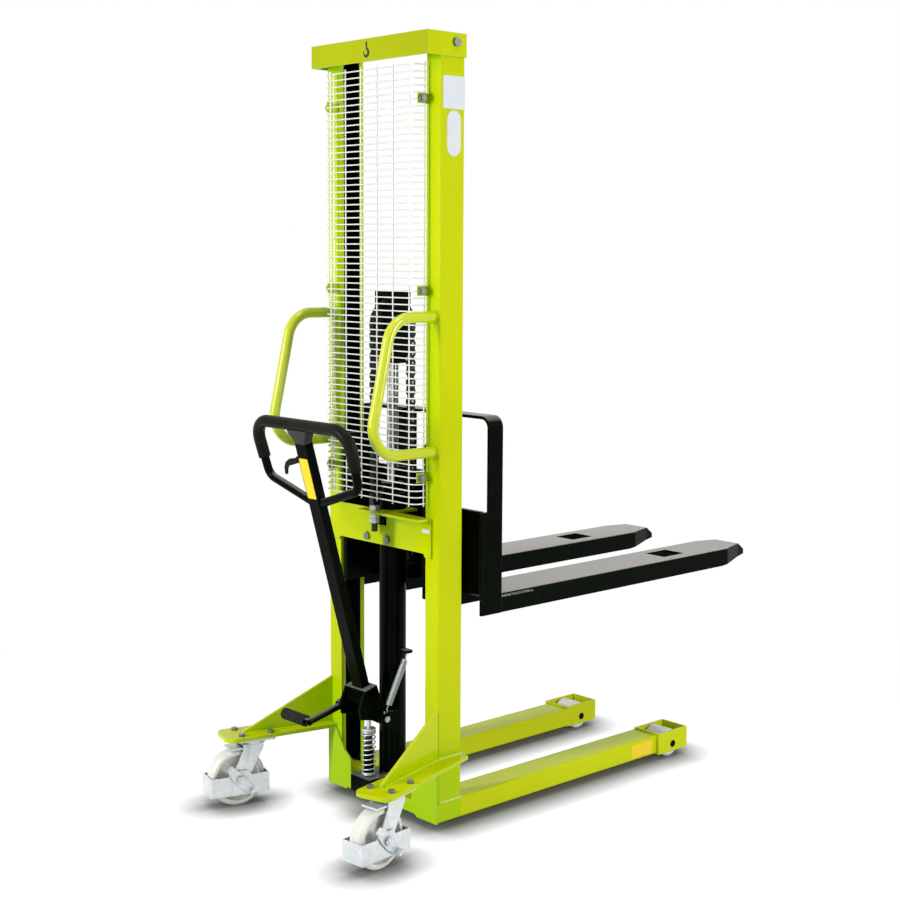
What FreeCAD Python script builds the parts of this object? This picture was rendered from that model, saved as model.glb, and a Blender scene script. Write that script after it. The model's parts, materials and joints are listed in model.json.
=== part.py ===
import FreeCAD, Part
import math
import os
import re
import Sketcher
from FreeCAD import Placement, Rotation, Vector

# Driving dimensions in millimetres and degrees.
# X runs forward along the forks, Y to the left and Z up from the floor.
SIZES = {
    # Mast
    "mast_rear": -442,
    "mast_height": 1980,
    "mast_half": 220,
    "post_depth": 79,
    "post_flange": 50,
    "post_wall": 8,
    "post_lip": 14,
    "post_corner": 5,
    "cap_height": 56,
    "cap_overhang": 47,
    "cap_wall": 5,
    "cap_bolt_in": 34,
    "cap_bolt_down": 22,
    # Crossbeam that steadies the cylinder and holds the fixed end of the chain
    "beam_bottom": 711,
    "beam_top": 802,
    "beam_half": 195,
    "beam_wall": 5,
    "beam_ear": 9,
    "ear_outside": 2,
    "ear_inside": 3,
    "shelf_back": 42,
    "shelf_left": 50,
    "shelf_right": 190,
    "shelf_wall": 6,
    "flange_reach": 76,
    "flange_half": 52,
    "window_left": 17,
    "window_right": 24,
    "window_low": 762,
    "window_high": 790,
    "beam_bolt_left": 52,
    "beam_bolt_right": 28,
    "beam_bolt_rise": 727,
    # Base and legs
    "base_wall": 6,
    "base_bottom": 21,
    "base_arch": 28,
    "arch_inside": 9,
    "arch_outside": 12,
    "arch_foot": 20,
    "base_top": 180,
    "base_shoulder": 190,
    "base_knee": 150,
    "base_knee_rise": 125,
    "base_knee_drop": 20,
    "base_cut_half": 124,
    "floor_top": 62,
    "floor_wall": 8,
    "floor_reach": 110,
    "leg_inner": 130,
    "leg_top": 75,
    "leg_wall": 5,
    "leg_corner": 7,
    "leg_length": 850,
    "shoe_length": 127,
    "shoe_inner": 135,
    "shoe_outer": 228,
    "shoe_bottom": 19,
    "shoe_top": 80,
    "shoe_wall": 6,
    "roller_radius": 40,
    "roller_width": 72,
    "roller_round": 5,
    "axle_radius": 10,
    "axle_proud": 1.5,
    "axle_fit": 0.02,
    "running_gap": 0.06,
    "side_gap": 0.4,
    "seat_gap": 0.3,
    "socket_gap": 0.1,
    "cut_over": 1,
    # Caster brackets
    "swivel_back": 212,
    "swivel_side": 285,
    "splay": 16,
    "bracket_top": 190,
    "bracket_wall": 10,
    "bracket_lip": 26,
    "bracket_half": 52,
    "bracket_reach": 86,
    "bracket_round": 24,
    "gusset_wall": 8,
    "gusset_rise": 128,
    "gusset_reach": 30,
    "gusset_toe": 6,
    "gusset_inset": 1,
    "gusset_trim": 40,
    "bolt_along": 40,
    "bolt_across": 31,
    "bolt_radius": 5,
    "bolt_hole": 5.3,
    "bolt_head": 9.5,
    "bolt_head_rise": 7,
    "cap_bolt_head": 11.5,
    "beam_bolt_head": 10.5,
    "guard_bolt_head": 7.5,
    "guard_bolt_rise": 6,
    "guard_bolt_ahead": 4,
    "washer_radius": 10.5,
    "washer_wall": 2,
    # Casters
    "steer_left": -15,
    "steer_right": 6,
    "caster_plate_half_long": 52,
    "caster_plate_half_wide": 43,
    "caster_plate_wall": 6,
    "caster_plate_corner": 8,
    "caster_gap": 0.3,
    "crown_radius": 36,
    "crown_rise": 8,
    "trail": 48,
    "wheel_radius": 75,
    "wheel_width": 46,
    "wheel_rim": 13,
    "wheel_hub": 22,
    "wheel_web": 18,
    "wheel_round": 6,
    "rim_inset": 2,
    "web_slope": 3,
    "fork_leg_gap": 2.5,
    "fork_leg_wall": 4,
    "leg_front": 20,
    "leg_back": 36,
    "leg_neck": 13,
    "leg_boss": 17,
    "leg_foot": 19,
    "caster_axle_radius": 6,
    "guard_band_low": 32,
    "guard_band_high": 84,
    "guard_band_back": 80,
    "guard_band_front": 82,
    "guard_band_wall": 3,
    "guard_band_gap": 1.5,
    "guard_band_ear": 22,
    "guard_band_ear_top": 97,
    "guard_band_ear_slope": 14,
    "guard_band_overlap": 4,
    "brake_wall": 4,
    "brake_gap": 1,
    "brake_arm": 46,
    "brake_half": 13,
    "brake_tab": 18,
    "brake_taper": 4,
    "brake_belly": 3,
    "brake_turn": 48,
    "pad_back": 24,
    "pad_root": 6,
    "shoe_gap": 1.5,
    "shoe_rise": 5,
    "nut_radius": 11,
    "nut_rise": 9,
    "nut_gap": 1,
    "nut_inset": 2,
    # Grab handles
    "handle_radius": 13.5,
    "handle_side": 198,
    "handle_top": 1302,
    "handle_bottom": 970,
    "handle_reach_top": 134,
    "handle_reach_bottom": 211,
    "handle_bend": 72,
    "handle_wall": 2.5,
    # Wire guard
    "wire": 3.5,
    "guard_back": 45,
    "guard_front": 12,
    "guard_half": 180,
    "guard_low": 838,
    "guard_below": 74,
    "guard_high": "=mast_height - guard_below",
    "guard_pitch": 16.4,
    "guard_column": 61.6,
    "guard_columns": 6,
    "clip_down": 155,
    "clip_low": 905,
    "clip_high": "=mast_height - clip_down",
    "clip_middle": "=(clip_high + clip_low) / 2",
    "clip_half": 12,
    "clip_wall": 3,
    "clip_back": 36,
    # Lift cylinder, pump and chain
    "cylinder_x": 36,
    "cylinder_radius": 35,
    "cylinder_bore": 20,
    "cylinder_foot": 12,
    "cylinder_top": 845,
    "gland_radius": 30,
    "gland_rise": 25,
    "gland_depth": 55,
    "rod_radius": 15,
    "rod_low": 330,
    "lug_rise": 430,
    "lug_half": 12,
    "lug_reach": 24,
    "lug_wall": 8,
    "lug_offset": 6,
    "lug_root": 6,
    "lug_gap": 0.5,
    "pump_back": 75,
    "pump_front": 75,
    "pump_half": 38,
    "pump_top": 105,
    "pump_floor": 10,
    "plunger_x": -45,
    "plunger_radius": 10,
    "plunger_low": 122,
    "plunger_cap": 231,
    "plunger_cap_wall": 5,
    "plunger_cap_radius": 18,
    "plunger_stem_radius": 6,
    "plunger_tip": 264,
    "sleeve_radius": 13,
    "sleeve_top": 178,
    "spring_mean": 16.6,
    "spring_wire": 3.6,
    "spring_turns": 9,
    "pivot_x": -19,
    "pivot_z": 259,
    "pivot_radius": 8,
    "pivot_proud": 4,
    "pivot_lug_inner": 26,
    "pivot_lug_wall": 8,
    "pivot_lug_half": 14,
    "pivot_lug_drop": 46,
    "valve_radius": 3.5,
    "valve_x": -12,
    "valve_side": -8,
    "valve_top": 222,
    "yoke_top": 1362,
    "yoke_bottom": 1178,
    "yoke_half_top": 38,
    "yoke_half_bottom": 22,
    "yoke_wall": 12,
    "yoke_shoulder": 35,
    "yoke_bridge": 12,
    "yoke_block": 28,
    "pulley_z": 1275,
    "pulley_pitch": 61,
    "pulley_flange": 66,
    "pulley_half": 13,
    "pulley_groove": 9,
    "pulley_slope": 1,
    "chain_depth": 21,
    "chain_width": 17,
    "chain_gap": 0.4,
    "anchor_low": 748,
    "anchor_radius": 8,
    "anchor_head": 846,
    "anchor_head_low": 817,
    "anchor_nut_radius": 13.5,
    "anchor_nut_rise": 13,
    # Carriage and forks
    "carriage_plate_x": 112,
    "carriage_wall": 12,
    "carriage_half": 249,
    "carriage_low": 592,
    "carriage_flare": 604,
    "carriage_high": 814,
    "cheek_outer": 164,
    "cheek_back": 5,
    "cheek_high": 985,
    "bridge_high": 897,
    "guide_low": 628,
    "guide_high": 940,
    "guide_gap": 0.7,
    "guide_radius": "=post_depth / 2 - post_lip - guide_gap",
    "guide_round": 3,
    "guide_half": 14,
    "guide_side": 192,
    "guide_axle": 12,
    "fork_inner": 110,
    "fork_bottom": 546,
    "fork_top": 597,
    "fork_wall": 6,
    "fork_tip": 1240,
    "fork_taper": 1122,
    "fork_nose": 1206,
    "fork_nose_half": 43,
    "fork_nose_in": 6,
    "fork_nose_rise": 22,
    "fork_toe": 1098,
    "fork_toe_rise": 15,
    "fork_round": 5,
    "slot_back": 872,
    "slot_front": 960,
    "slot_half": 35,
    "stiffener_wall": 5,
    "stiffener_front": 322,
    "stiffener_top": 588,
    "stiffener_slope": 16,
    "stiffener_lean": 4,
    "foot_rise": 2,
    "rest_back": 135,
    "rest_width": 47,
    "rest_wall": 8,
    "rest_top": 1052,
    "rest_corner": 30,
    "rest_foot": 812,
    "rest_bar_side": 77,
    "rest_bar_low": 720,
    "clevis_low": 610,
    "clevis_high": 650,
    "clevis_half": 14,
    "clevis_over": 3,
    # Tiller, foot pedal and release trigger
    "tiller_x": -44,
    "tiller_z": 252,
    "tiller_lean": -15.5,
    "tiller_half_deep": 12.5,
    "tiller_half_wide": 20,
    "tiller_wall": 3,
    "tiller_low": 102,
    "loop_top": "=trigger_up + trigger_below",
    "loop_half": 190,
    "loop_waist": 180,
    "loop_waist_down": 150,
    "loop_waist_up": "=loop_top - loop_waist_down",
    "loop_join": 24,
    "loop_join_down": 202,
    "loop_join_up": "=loop_top - loop_join_down",
    "loop_radius": 11,
    "loop_wall": 2,
    "loop_bend": 52,
    "loop_bend_low": 30,
    "grip_radius": 15.5,
    "grip_down": 100,
    "grip_end": "=loop_top - grip_down",
    "grip_gap": 0.2,
    "tube_gap": 0.3,
    "rocker_inner": 36,
    "rocker_wall": 6,
    "rocker_block_low": 60,
    "rocker_block_half": 20,
    "rocker_eye": 14,
    "rocker_brow": 16,
    "rocker_brow_rise": 12,
    "rocker_lip": 2,
    "rocker_pad": 15,
    "rocker_pad_top": 13,
    "press_back": 22,
    "press_back_drop": 4,
    "press_front": 6,
    "press_roller_x": -45,
    "press_roller_radius": 10,
    "press_gap": 0.6,
    "press_pin_radius": 5,
    "hook_radius": 4,
    "hook_x": 20.4,
    "hook_up": 21.3,
    "hook_reach": 15,
    "hook_clear": 1.6,
    "lug_clear": 0.4,
    "pedal_x": -37,
    "pedal_up": 51,
    "pedal_boss_radius": 14,
    "pedal_boss_wall": 20,
    "pedal_arm_radius": 9,
    "pedal_arm": 110,
    "pedal_drop": 12.9,
    "pedal_stub_in": 6,
    "pedal_grip_radius": 15,
    "pedal_grip_length": 100,
    "pedal_rib_depth": 1.5,
    "pedal_grip_start": 2,
    "trigger_side": 29,
    "trigger_up": 724,
    "trigger_below": 91,
    "trigger_pin": 4,
    "trigger_half": 3,
    "trigger_eye": 8,
    "trigger_flat": 0.6,
    "trigger_reach": 78,
    "trigger_fall": 46,
    "trigger_ear": 3,
    # Return spring between the rocker and the cylinder
    "return_mean": 7.5,
    "return_wire": 2.6,
    "return_pitch": 3.5,
    "return_side": 53,
    "return_lead": 16,
    "spring_seat": 0.8,
}

os.makedirs("parts", exist_ok=True)
doc = FreeCAD.newDocument("pallet_stacker")
sheet = doc.addObject("Spreadsheet::Sheet", "Sizes")
for row, (alias, value) in enumerate(SIZES.items(), 1):
    sheet.set(f"A{row}", str(value))
    sheet.setAlias(f"A{row}", alias)
doc.recompute()
pieces = []
X_AXIS = Vector(1, 0, 0)
Y_AXIS = Vector(0, 1, 0)
Z_AXIS = Vector(0, 0, 1)
SIDES = (("left", 1), ("right", -1))
# Points closer than this count as one place.
SAME_PLACE = 0.01
# Upper and lower edge of the trigger's hook, as shares of its reach and its fall.
HOOK_UPPER = ((0.35, 0.02), (0.62, 0.1), (0.82, 0.3), (0.95, 0.6), (1, 1))
HOOK_LOWER = ((0.5, 0.42), (0.72, 0.5), (0.85, 0.72), (0.93, 1.05))
# Ribs of the pedal's grip: how many, and where a rib's top, slope and groove end in one step.
RIBS = 9
RIB_TOP, RIB_SLOPE, RIB_GROOVE = 0.65, 0.7, 0.95


def bind(text):
    """Turn the size names in a formula into references to the sheet."""
    return re.sub(r"[a-z_]+", lambda m: "Sizes." + m.group() if m.group() in SIZES else m.group(),
                  str(text))


def number(text):
    """Value of a formula of sizes."""
    return float(sheet.evalExpression(bind(text)))


def keep(label, piece):
    """Name a finished sub-part and list it for export."""
    piece.Label = label
    pieces.append(piece)
    return piece


def place(piece, x="0", y="0", z="0", axis=None, angle="0"):
    """Put a piece at a point given by formulas, turned about one axis."""
    turn = Rotation(axis, number(angle)) if axis else Rotation()
    piece.Placement = Placement(Vector(number(x), number(y), number(z)), turn)
    for name, text in (("x", x), ("y", y), ("z", z)):
        piece.setExpression("Placement.Base." + name, bind(text))
    if axis:
        piece.setExpression("Placement.Rotation.Angle", bind(angle))
    return piece


def new_body(name):
    return doc.addObject("PartDesign::Body", name)


def new_sketch(body, role):
    """Sketch on one of the body's own origin planes: XY_Plane, XZ_Plane or YZ_Plane."""
    sketch = body.newObject("Sketcher::SketchObject", body.Name + "_sketch")
    plane = next(f for f in body.Origin.OriginFeatures if f.Role == role)
    sketch.AttachmentSupport = [(plane, "")]
    sketch.MapMode = "FlatFace"
    return sketch


def tie_point(sketch, element, end, x, y):
    """Hold a point of the sketch at two formulas."""
    for kind, text in (("DistanceX", x), ("DistanceY", y)):
        index = sketch.addConstraint(Sketcher.Constraint(kind, -1, 1, element, end, number(text)))
        sketch.setExpression(f"Constraints[{index}]", bind(text))


def polygon(sketch, corners):
    """Closed outline with every corner tied to the sheet."""
    points = [Vector(number(x), number(y), 0) for x, y in corners]
    first = sketch.GeometryCount
    count = len(points)
    for i in range(count):
        sketch.addGeometry(Part.LineSegment(points[i], points[(i + 1) % count]))
    for i in range(count):
        sketch.addConstraint(Sketcher.Constraint("Coincident", first + i, 2, first + (i + 1) % count, 1))
    for i, (x, y) in enumerate(corners):
        tie_point(sketch, first + i, 1, x, y)


def circle(sketch, x, y, radius):
    """Circle with its centre and radius tied to the sheet."""
    centre = Vector(number(x), number(y), 0)
    index = sketch.addGeometry(Part.Circle(centre, Z_AXIS, number(radius)))
    tie_point(sketch, index, 3, x, y)
    size = sketch.addConstraint(Sketcher.Constraint("Radius", index, number(radius)))
    sketch.setExpression(f"Constraints[{size}]", bind(radius))


def bent_path(sketch, corners, bends):
    """Open line through the corners, each inner corner rounded by a tangent arc of its own radius."""
    points = [Vector(number(x), number(y), 0) for x, y in corners]
    entry, leave, turns = [], [], []
    for i in range(1, len(points) - 1):
        back = (points[i - 1] - points[i]).normalize()
        ahead = (points[i + 1] - points[i]).normalize()
        half = back.getAngle(ahead) / 2
        reach = number(bends[i - 1]) / math.tan(half)
        entry.append(points[i] + back * reach)
        leave.append(points[i] + ahead * reach)
        middle = points[i] + (back + ahead).normalize() * (number(bends[i - 1]) / math.sin(half))
        turns.append((middle, number(bends[i - 1])))
    starts = [points[0]] + leave
    ends = entry + [points[-1]]
    lines = [sketch.addGeometry(Part.LineSegment(a, b)) for a, b in zip(starts, ends)]
    tie_point(sketch, lines[0], 1, *corners[0])
    tie_point(sketch, lines[-1], 2, *corners[-1])
    for i, (middle, radius) in enumerate(turns):
        a, b = entry[i] - middle, leave[i] - middle
        left_turn = a.x * b.y - a.y * b.x > 0
        low, high = (a, b) if left_turn else (b, a)
        arc = Part.ArcOfCircle(Part.Circle(middle, Z_AXIS, radius),
                               math.atan2(low.y, low.x), math.atan2(high.y, high.x))
        index = sketch.addGeometry(arc)
        corner = sketch.addGeometry(Part.Point(points[i + 1]), True)
        first, last = (1, 2) if left_turn else (2, 1)
        sketch.addConstraint(Sketcher.Constraint("Tangent", lines[i], 2, index, first))
        sketch.addConstraint(Sketcher.Constraint("Tangent", lines[i + 1], 1, index, last))
        tie_point(sketch, corner, 1, *corners[i + 1])
        sketch.addConstraint(Sketcher.Constraint("PointOnObject", corner, 1, lines[i]))
        sketch.addConstraint(Sketcher.Constraint("PointOnObject", corner, 1, lines[i + 1]))
        size = sketch.addConstraint(Sketcher.Constraint("Radius", index, radius))
        sketch.setExpression(f"Constraints[{size}]", bind(bends[i]))


def pad(body, sketch, length, reverse=False, middle=False):
    feature = body.newObject("PartDesign::Pad", body.Name + "_pad")
    feature.Profile = sketch
    feature.setExpression("Length", bind(length))
    feature.Reversed = reverse
    feature.SideType = "Symmetric" if middle else "One side"
    return feature


def pocket(body, sketch, length=None, reverse=False):
    """Cut a sketch out of its body, right through both ways where no length is given."""
    feature = body.newObject("PartDesign::Pocket", body.Name + "_pocket")
    feature.Profile = sketch
    if length is None:
        feature.Type = "ThroughAll"
        feature.SideType = "Symmetric"
    else:
        feature.setExpression("Length", bind(length))
        feature.Reversed = reverse
    return feature


def plate(name, role, corners, thickness, holes=(), reverse=False, middle=False):
    """Flat plate from an outline, with round holes given as centre and radius."""
    body = new_body(name)
    sketch = new_sketch(body, role)
    polygon(sketch, corners)
    for hole in holes:
        circle(sketch, *hole)
    pad(body, sketch, thickness, reverse, middle)
    return body


def turned(name, profile, axis="V_Axis"):
    """Solid of revolution from a half section of radius and height in the XZ plane."""
    body = new_body(name)
    sketch = new_sketch(body, "XZ_Plane")
    polygon(sketch, profile)
    feature = body.newObject("PartDesign::Revolution", name + "_turn")
    feature.Profile = sketch
    feature.ReferenceAxis = (sketch, [axis])
    feature.Angle = 360
    return body


def round_edges(body, radius, test):
    """Fillet the edges of a body that pass a test of their two end points."""
    doc.recompute()
    names = []
    for i, edge in enumerate(body.Shape.Edges, 1):
        ends = [v.Point for v in edge.Vertexes]
        if len(ends) == 2 and edge.Curve.TypeId == "Part::GeomLine" and test(*ends):
            names.append(f"Edge{i}")
    feature = body.newObject("PartDesign::Fillet", body.Name + "_round")
    feature.Base = (body.Tip if body.Tip != feature else feature.BaseFeature, names)
    feature.setExpression("Radius", bind(radius))
    return feature


def along(axis):
    """Test for an edge that runs along one axis."""
    return lambda a, b: (b - a).cross(axis).Length < 1e-6 * (b - a).Length


def box(name, x, y, z, long, wide, high):
    """Block from its low corner and its three lengths."""
    block = doc.addObject("Part::Box", name)
    for size, text in (("Length", long), ("Width", wide), ("Height", high)):
        block.setExpression(size, bind(text))
    return place(block, x, y, z)


def bar(name, radius, length, x, y, z, axis=Z_AXIS):
    """Round bar that starts at a point and runs along an axis."""
    round_bar = doc.addObject("Part::Cylinder", name)
    round_bar.setExpression("Radius", bind(radius))
    round_bar.setExpression("Height", bind(length))
    place(round_bar, x, y, z)
    round_bar.Placement = Placement(round_bar.Placement.Base, Rotation(Z_AXIS, axis))
    return round_bar


def hexagon(name, radius, length, x, y, z, axis=Z_AXIS):
    """Six-sided head or nut that starts at a point and runs along an axis."""
    prism = doc.addObject("Part::Prism", name)
    prism.Polygon = 6
    prism.setExpression("Circumradius", bind(radius))
    prism.setExpression("Height", bind(length))
    place(prism, x, y, z)
    prism.Placement = Placement(prism.Placement.Base, Rotation(Z_AXIS, axis))
    return prism


def join(name, parts):
    fused = doc.addObject("Part::MultiFuse", name)
    fused.Shapes = parts
    fused.Refine = True
    return fused


def cut(name, base, tool):
    rest = doc.addObject("Part::Cut", name)
    rest.Base = base
    rest.Tool = tool
    return rest


def group(name, parts):
    """Several like pieces kept as one group of solids."""
    bundle = doc.addObject("Part::Compound", name)
    bundle.Links = parts
    return bundle


def pipe(name, path_role, corners, bends, profile_role, centre, radius, bore=None, mirror=None):
    """Round tube bent along a path that starts square to the profile plane."""
    body = new_body(name)
    spine = new_sketch(body, path_role)
    bent_path(spine, corners, bends)
    section = new_sketch(body, profile_role)
    circle(section, *centre, radius)
    if bore:
        circle(section, *centre, bore)
    doc.recompute()
    sweep = body.newObject("PartDesign::AdditivePipe", name + "_sweep")
    sweep.Profile = section
    sweep.Spine = (spine, [])
    if mirror:
        doc.recompute()
        double = body.newObject("PartDesign::Mirrored", name + "_mirror")
        double.Originals = [sweep]
        double.MirrorPlane = (next(f for f in body.Origin.OriginFeatures if f.Role == mirror), [""])
        body.Tip = double
    return body


def build_posts():
    """Two rolled channels that face each other, web outward."""
    for side, sign in SIDES:
        inner = f"{sign} * (mast_half - post_flange)"
        web = f"{sign} * (mast_half - post_wall)"
        outer = f"{sign} * mast_half"
        corners = [("0", inner), ("0", outer), ("post_depth", outer), ("post_depth", inner),
                   ("post_depth - post_lip", inner), ("post_depth - post_lip", web),
                   ("post_lip", web), ("post_lip", inner)]
        post = plate(f"mast_post_{side}", "XY_Plane", corners, "mast_height - cap_wall - leg_top")
        edge = number(outer)
        upright = along(Z_AXIS)
        round_edges(post, "post_corner", lambda a, b: upright(a, b) and abs(a.y - edge) < SAME_PLACE)
        keep(f"mast_post_{side}", place(post, "mast_rear", "0", "leg_top"))


def build_cap():
    """Folded cap over both posts, open below and in front."""
    back, low = "mast_rear - cap_overhang", "mast_height - cap_height"
    length = "post_depth + cap_overhang"
    outside = box("cap_outside", back, "-mast_half - cap_wall", low,
                  length, "2 * (mast_half + cap_wall)", "cap_height")
    inside = box("cap_inside", f"{back} + cap_wall", "-mast_half", f"{low} - cut_over",
                 length, "2 * mast_half", "cap_height - cap_wall + cut_over")
    keep("mast_top_cap", cut("mast_top_cap", outside, inside))


def build_crossbeam():
    """Face plate across the posts with a shelf for the chain and a flange round the cylinder."""
    inner, low = "(mast_half - post_flange)", "beam_bottom - beam_ear"
    half = [(f"{inner} - ear_inside", "beam_bottom"), (f"{inner} + ear_outside", low), ("beam_half", low),
            ("beam_half", "beam_top")]
    corners = half + [(f"-({y})", z) for y, z in reversed(half)]
    holes = [(y, "beam_bolt_rise", "bolt_hole") for y in ("beam_bolt_left", "-beam_bolt_right")]
    face = plate("crossbeam_face", "YZ_Plane", corners, "beam_wall", holes)
    window = new_sketch(face, "YZ_Plane")
    polygon(window, [("-window_right", "window_low"), ("window_left", "window_low"),
                     ("window_left", "window_high"), ("-window_right", "window_high")])
    pocket(face, window)
    place(face, "mast_rear - beam_wall")
    under, through = "beam_top - shelf_wall", "shelf_wall + 2 * cut_over"
    shelf = box("crossbeam_shelf", "mast_rear - shelf_back", "-shelf_right", under,
                "shelf_back - beam_wall", "shelf_left + shelf_right", "shelf_wall")
    stud_hole = bar("crossbeam_stud_hole", "anchor_radius + seat_gap", through,
                    "mast_rear + cylinder_x - pulley_pitch", "0", f"{under} - cut_over")
    flange = box("crossbeam_flange", "mast_rear", "-flange_half", under,
                 "flange_reach", "2 * flange_half", "shelf_wall")
    hole = bar("crossbeam_hole", "cylinder_radius + seat_gap", through,
               "mast_rear + cylinder_x", "0", f"{under} - cut_over")
    plates = [face, cut("shelf_cut", shelf, stud_hole), cut("flange_cut", flange, hole)]
    keep("crossbeam", join("crossbeam", plates))


def build_anchor():
    """Threaded stud with three nuts that holds the fixed end of the chain on the crossbeam's shelf."""
    x = "mast_rear + cylinder_x - pulley_pitch"
    low = "beam_top - shelf_wall"
    stud = bar("anchor_bar", "anchor_radius", "anchor_head_low - anchor_low", x, "0", "anchor_low")
    head = box("anchor_head", f"{x} - chain_depth / 2", "-chain_width / 2", "anchor_head_low",
               "chain_depth", "chain_width", "anchor_head - anchor_head_low")
    nuts = [hexagon("anchor_nut", "anchor_nut_radius", "anchor_nut_rise", x, "0", z)
            for z in ("beam_top", f"{low} - anchor_nut_rise", f"{low} - 2 * anchor_nut_rise - nut_gap")]
    keep("chain_anchor", join("chain_anchor", [stud, head] + nuts))


def build_base():
    """Rear plate with its arched foot and pump cut, and the floor that the pump stands on."""
    half = [("base_cut_half - arch_inside", "base_arch"), ("base_cut_half + arch_outside", "base_arch"),
            ("base_cut_half + arch_foot", "base_bottom"), ("mast_half", "base_bottom"),
            ("mast_half", "base_top"), ("base_shoulder", "base_top"), ("base_knee", "base_knee_rise"),
            ("base_cut_half", "base_knee_rise - base_knee_drop"), ("base_cut_half", "floor_top")]
    corners = half + [(f"-({y})", z) for y, z in reversed(half)]
    back = plate("base_back", "YZ_Plane", corners, "base_wall")
    place(back, "mast_rear - base_wall")
    floor = box("base_floor", "mast_rear - base_wall", "-leg_inner", "floor_top - floor_wall",
                "floor_reach + base_wall", "2 * leg_inner", "floor_wall")
    keep("base_plate", join("base_plate", [back, floor]))


def build_legs():
    """Rectangular tubes that run forward to the load rollers."""
    floor, roof = "base_bottom + leg_wall", "leg_top - leg_wall"
    for side, sign in SIDES:
        low, high = ("leg_inner", "mast_half") if sign > 0 else ("-mast_half", "-leg_inner")
        corners = [(low, "base_bottom"), (high, "base_bottom"), (high, "leg_top"), (low, "leg_top")]
        leg = plate(f"leg_{side}", "YZ_Plane", corners, "leg_length")
        round_edges(leg, "leg_corner", along(X_AXIS))
        near, far = f"{low} + leg_wall", f"{high} - leg_wall"
        inner = new_sketch(leg, "YZ_Plane")
        polygon(inner, [(near, floor), (far, floor), (far, roof), (near, roof)])
        pocket(leg, inner)
        keep(f"leg_{side}", place(leg, "mast_rear"))


def build_shoes():
    """Open frames at the leg ends, their axles and the load rollers."""
    axles = []
    back, centre = "mast_rear + leg_length", "mast_rear + leg_length + shoe_length / 2"
    width, height = "(shoe_outer - shoe_inner)", "(shoe_top - shoe_bottom)"
    bore, half = "axle_radius + running_gap", "roller_width / 2"
    profile = [(bore, f"-{half}"), ("roller_radius - roller_round", f"-{half}"),
               ("roller_radius", f"-{half} + roller_round"), ("roller_radius", f"{half} - roller_round"),
               ("roller_radius - roller_round", half), (bore, half)]
    for side, sign in SIDES:
        low = "shoe_inner" if sign > 0 else "-shoe_outer"
        outside = box(f"shoe_outside_{side}", back, low, "shoe_bottom", "shoe_length", width, height)
        inside = box(f"shoe_inside_{side}", f"{back} + shoe_wall", f"{low} + shoe_wall",
                     "shoe_bottom - cut_over", "shoe_length - 2 * shoe_wall", f"{width} - 2 * shoe_wall",
                     f"{height} + 2 * cut_over")
        hole = bar(f"shoe_bore_{side}", "axle_radius + axle_fit", f"{width} + 2 * cut_over", centre,
                   f"{low} - cut_over", "roller_radius", Y_AXIS)
        frame = cut(f"shoe_frame_{side}", outside, inside)
        keep(f"roller_shoe_{side}", cut(f"roller_shoe_{side}", frame, hole))
        axles.append(bar(f"load_axle_{side}", "axle_radius", f"{width} + 2 * axle_proud", centre,
                         f"{low} - axle_proud", "roller_radius", Y_AXIS))
        roller = turned(f"load_roller_{side}", profile)
        middle = f"{sign} * (shoe_inner + shoe_outer) / 2"
        keep(f"load_roller_{side}", place(roller, centre, middle, "roller_radius", X_AXIS, "90"))
    keep("load_axles", group("load_axles", axles))


def along_splay(sign, reach, across):
    """Plan position of a point on a caster bracket: reach towards its tip, across to the outside."""
    x = f"-swivel_back - ({reach}) * cos(splay) + ({across}) * sin(splay)"
    y = f"{sign} * (swivel_side + ({reach}) * sin(splay) + ({across}) * cos(splay))"
    return x, y


def build_brackets():
    """Flat arm with a standing gusset that carries each caster, and the caster's fixed top plate."""
    bolt_spots = [(a, b) for a in ("bolt_along", "-bolt_along") for b in ("bolt_across", "-bolt_across")]
    long, wide = "caster_plate_half_long", "caster_plate_half_wide"
    outline = [(f"-{long}", f"-{wide}"), (long, f"-{wide}"), (long, wide), (f"-{long}", wide)]
    spots = [(a, b, "bolt_hole") for a, b in bolt_spots]
    toe = "-swivel_back / cos(splay) - gusset_reach"
    upright = along(Z_AXIS)
    tip = number("-swivel_back - bracket_reach * cos(splay)")
    slant = number("bracket_half * sin(splay)") + SAME_PLACE
    for side, sign in SIDES:
        corners = [("0", f"{sign} * base_shoulder"), ("0", f"{sign} * mast_half"),
                   ("post_depth", f"{sign} * mast_half"),
                   ("post_depth", f"{sign} * (mast_half + bracket_lip)"),
                   along_splay(sign, "bracket_reach", "bracket_half"),
                   along_splay(sign, "bracket_reach", "-bracket_half")]
        holes = [(*along_splay(sign, a, b), "bolt_hole") for a, b in bolt_spots]
        arm = plate(f"bracket_arm_{side}", "XY_Plane", corners, "bracket_wall", holes)
        round_edges(arm, "bracket_round", lambda a, b: upright(a, b) and abs(a.x - tip) < slant)
        place(arm, "mast_rear", "0", "bracket_top - bracket_wall")
        gusset = plate(f"bracket_gusset_{side}", "XZ_Plane",
                       [("0", "0"), ("0", "gusset_rise"), (toe, "gusset_toe"), (toe, "0")], "gusset_wall",
                       middle=True)
        place(gusset, "mast_rear", f"{sign} * (mast_half - gusset_wall / 2 - gusset_inset)", "bracket_top",
              Z_AXIS, f"-{sign} * splay")
        trim = box(f"bracket_trim_{side}", "mast_rear", f"{sign} * mast_half - gusset_trim",
                   "bracket_top - cut_over", "gusset_trim", "2 * gusset_trim", "gusset_rise + 2 * cut_over")
        bracket = join(f"caster_bracket_{side}", [arm, cut(f"gusset_{side}", gusset, trim)])
        keep(f"caster_bracket_{side}", bracket)
        top = plate(f"caster_plate_{side}", "XY_Plane", outline, "caster_plate_wall", spots)
        round_edges(top, "caster_plate_corner", upright)
        place(top, "mast_rear - swivel_back", f"{sign} * swivel_side",
              "bracket_top - bracket_wall - caster_plate_wall", Z_AXIS, f"{sign} * -splay")
        keep(f"caster_plate_{side}", top)


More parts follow.
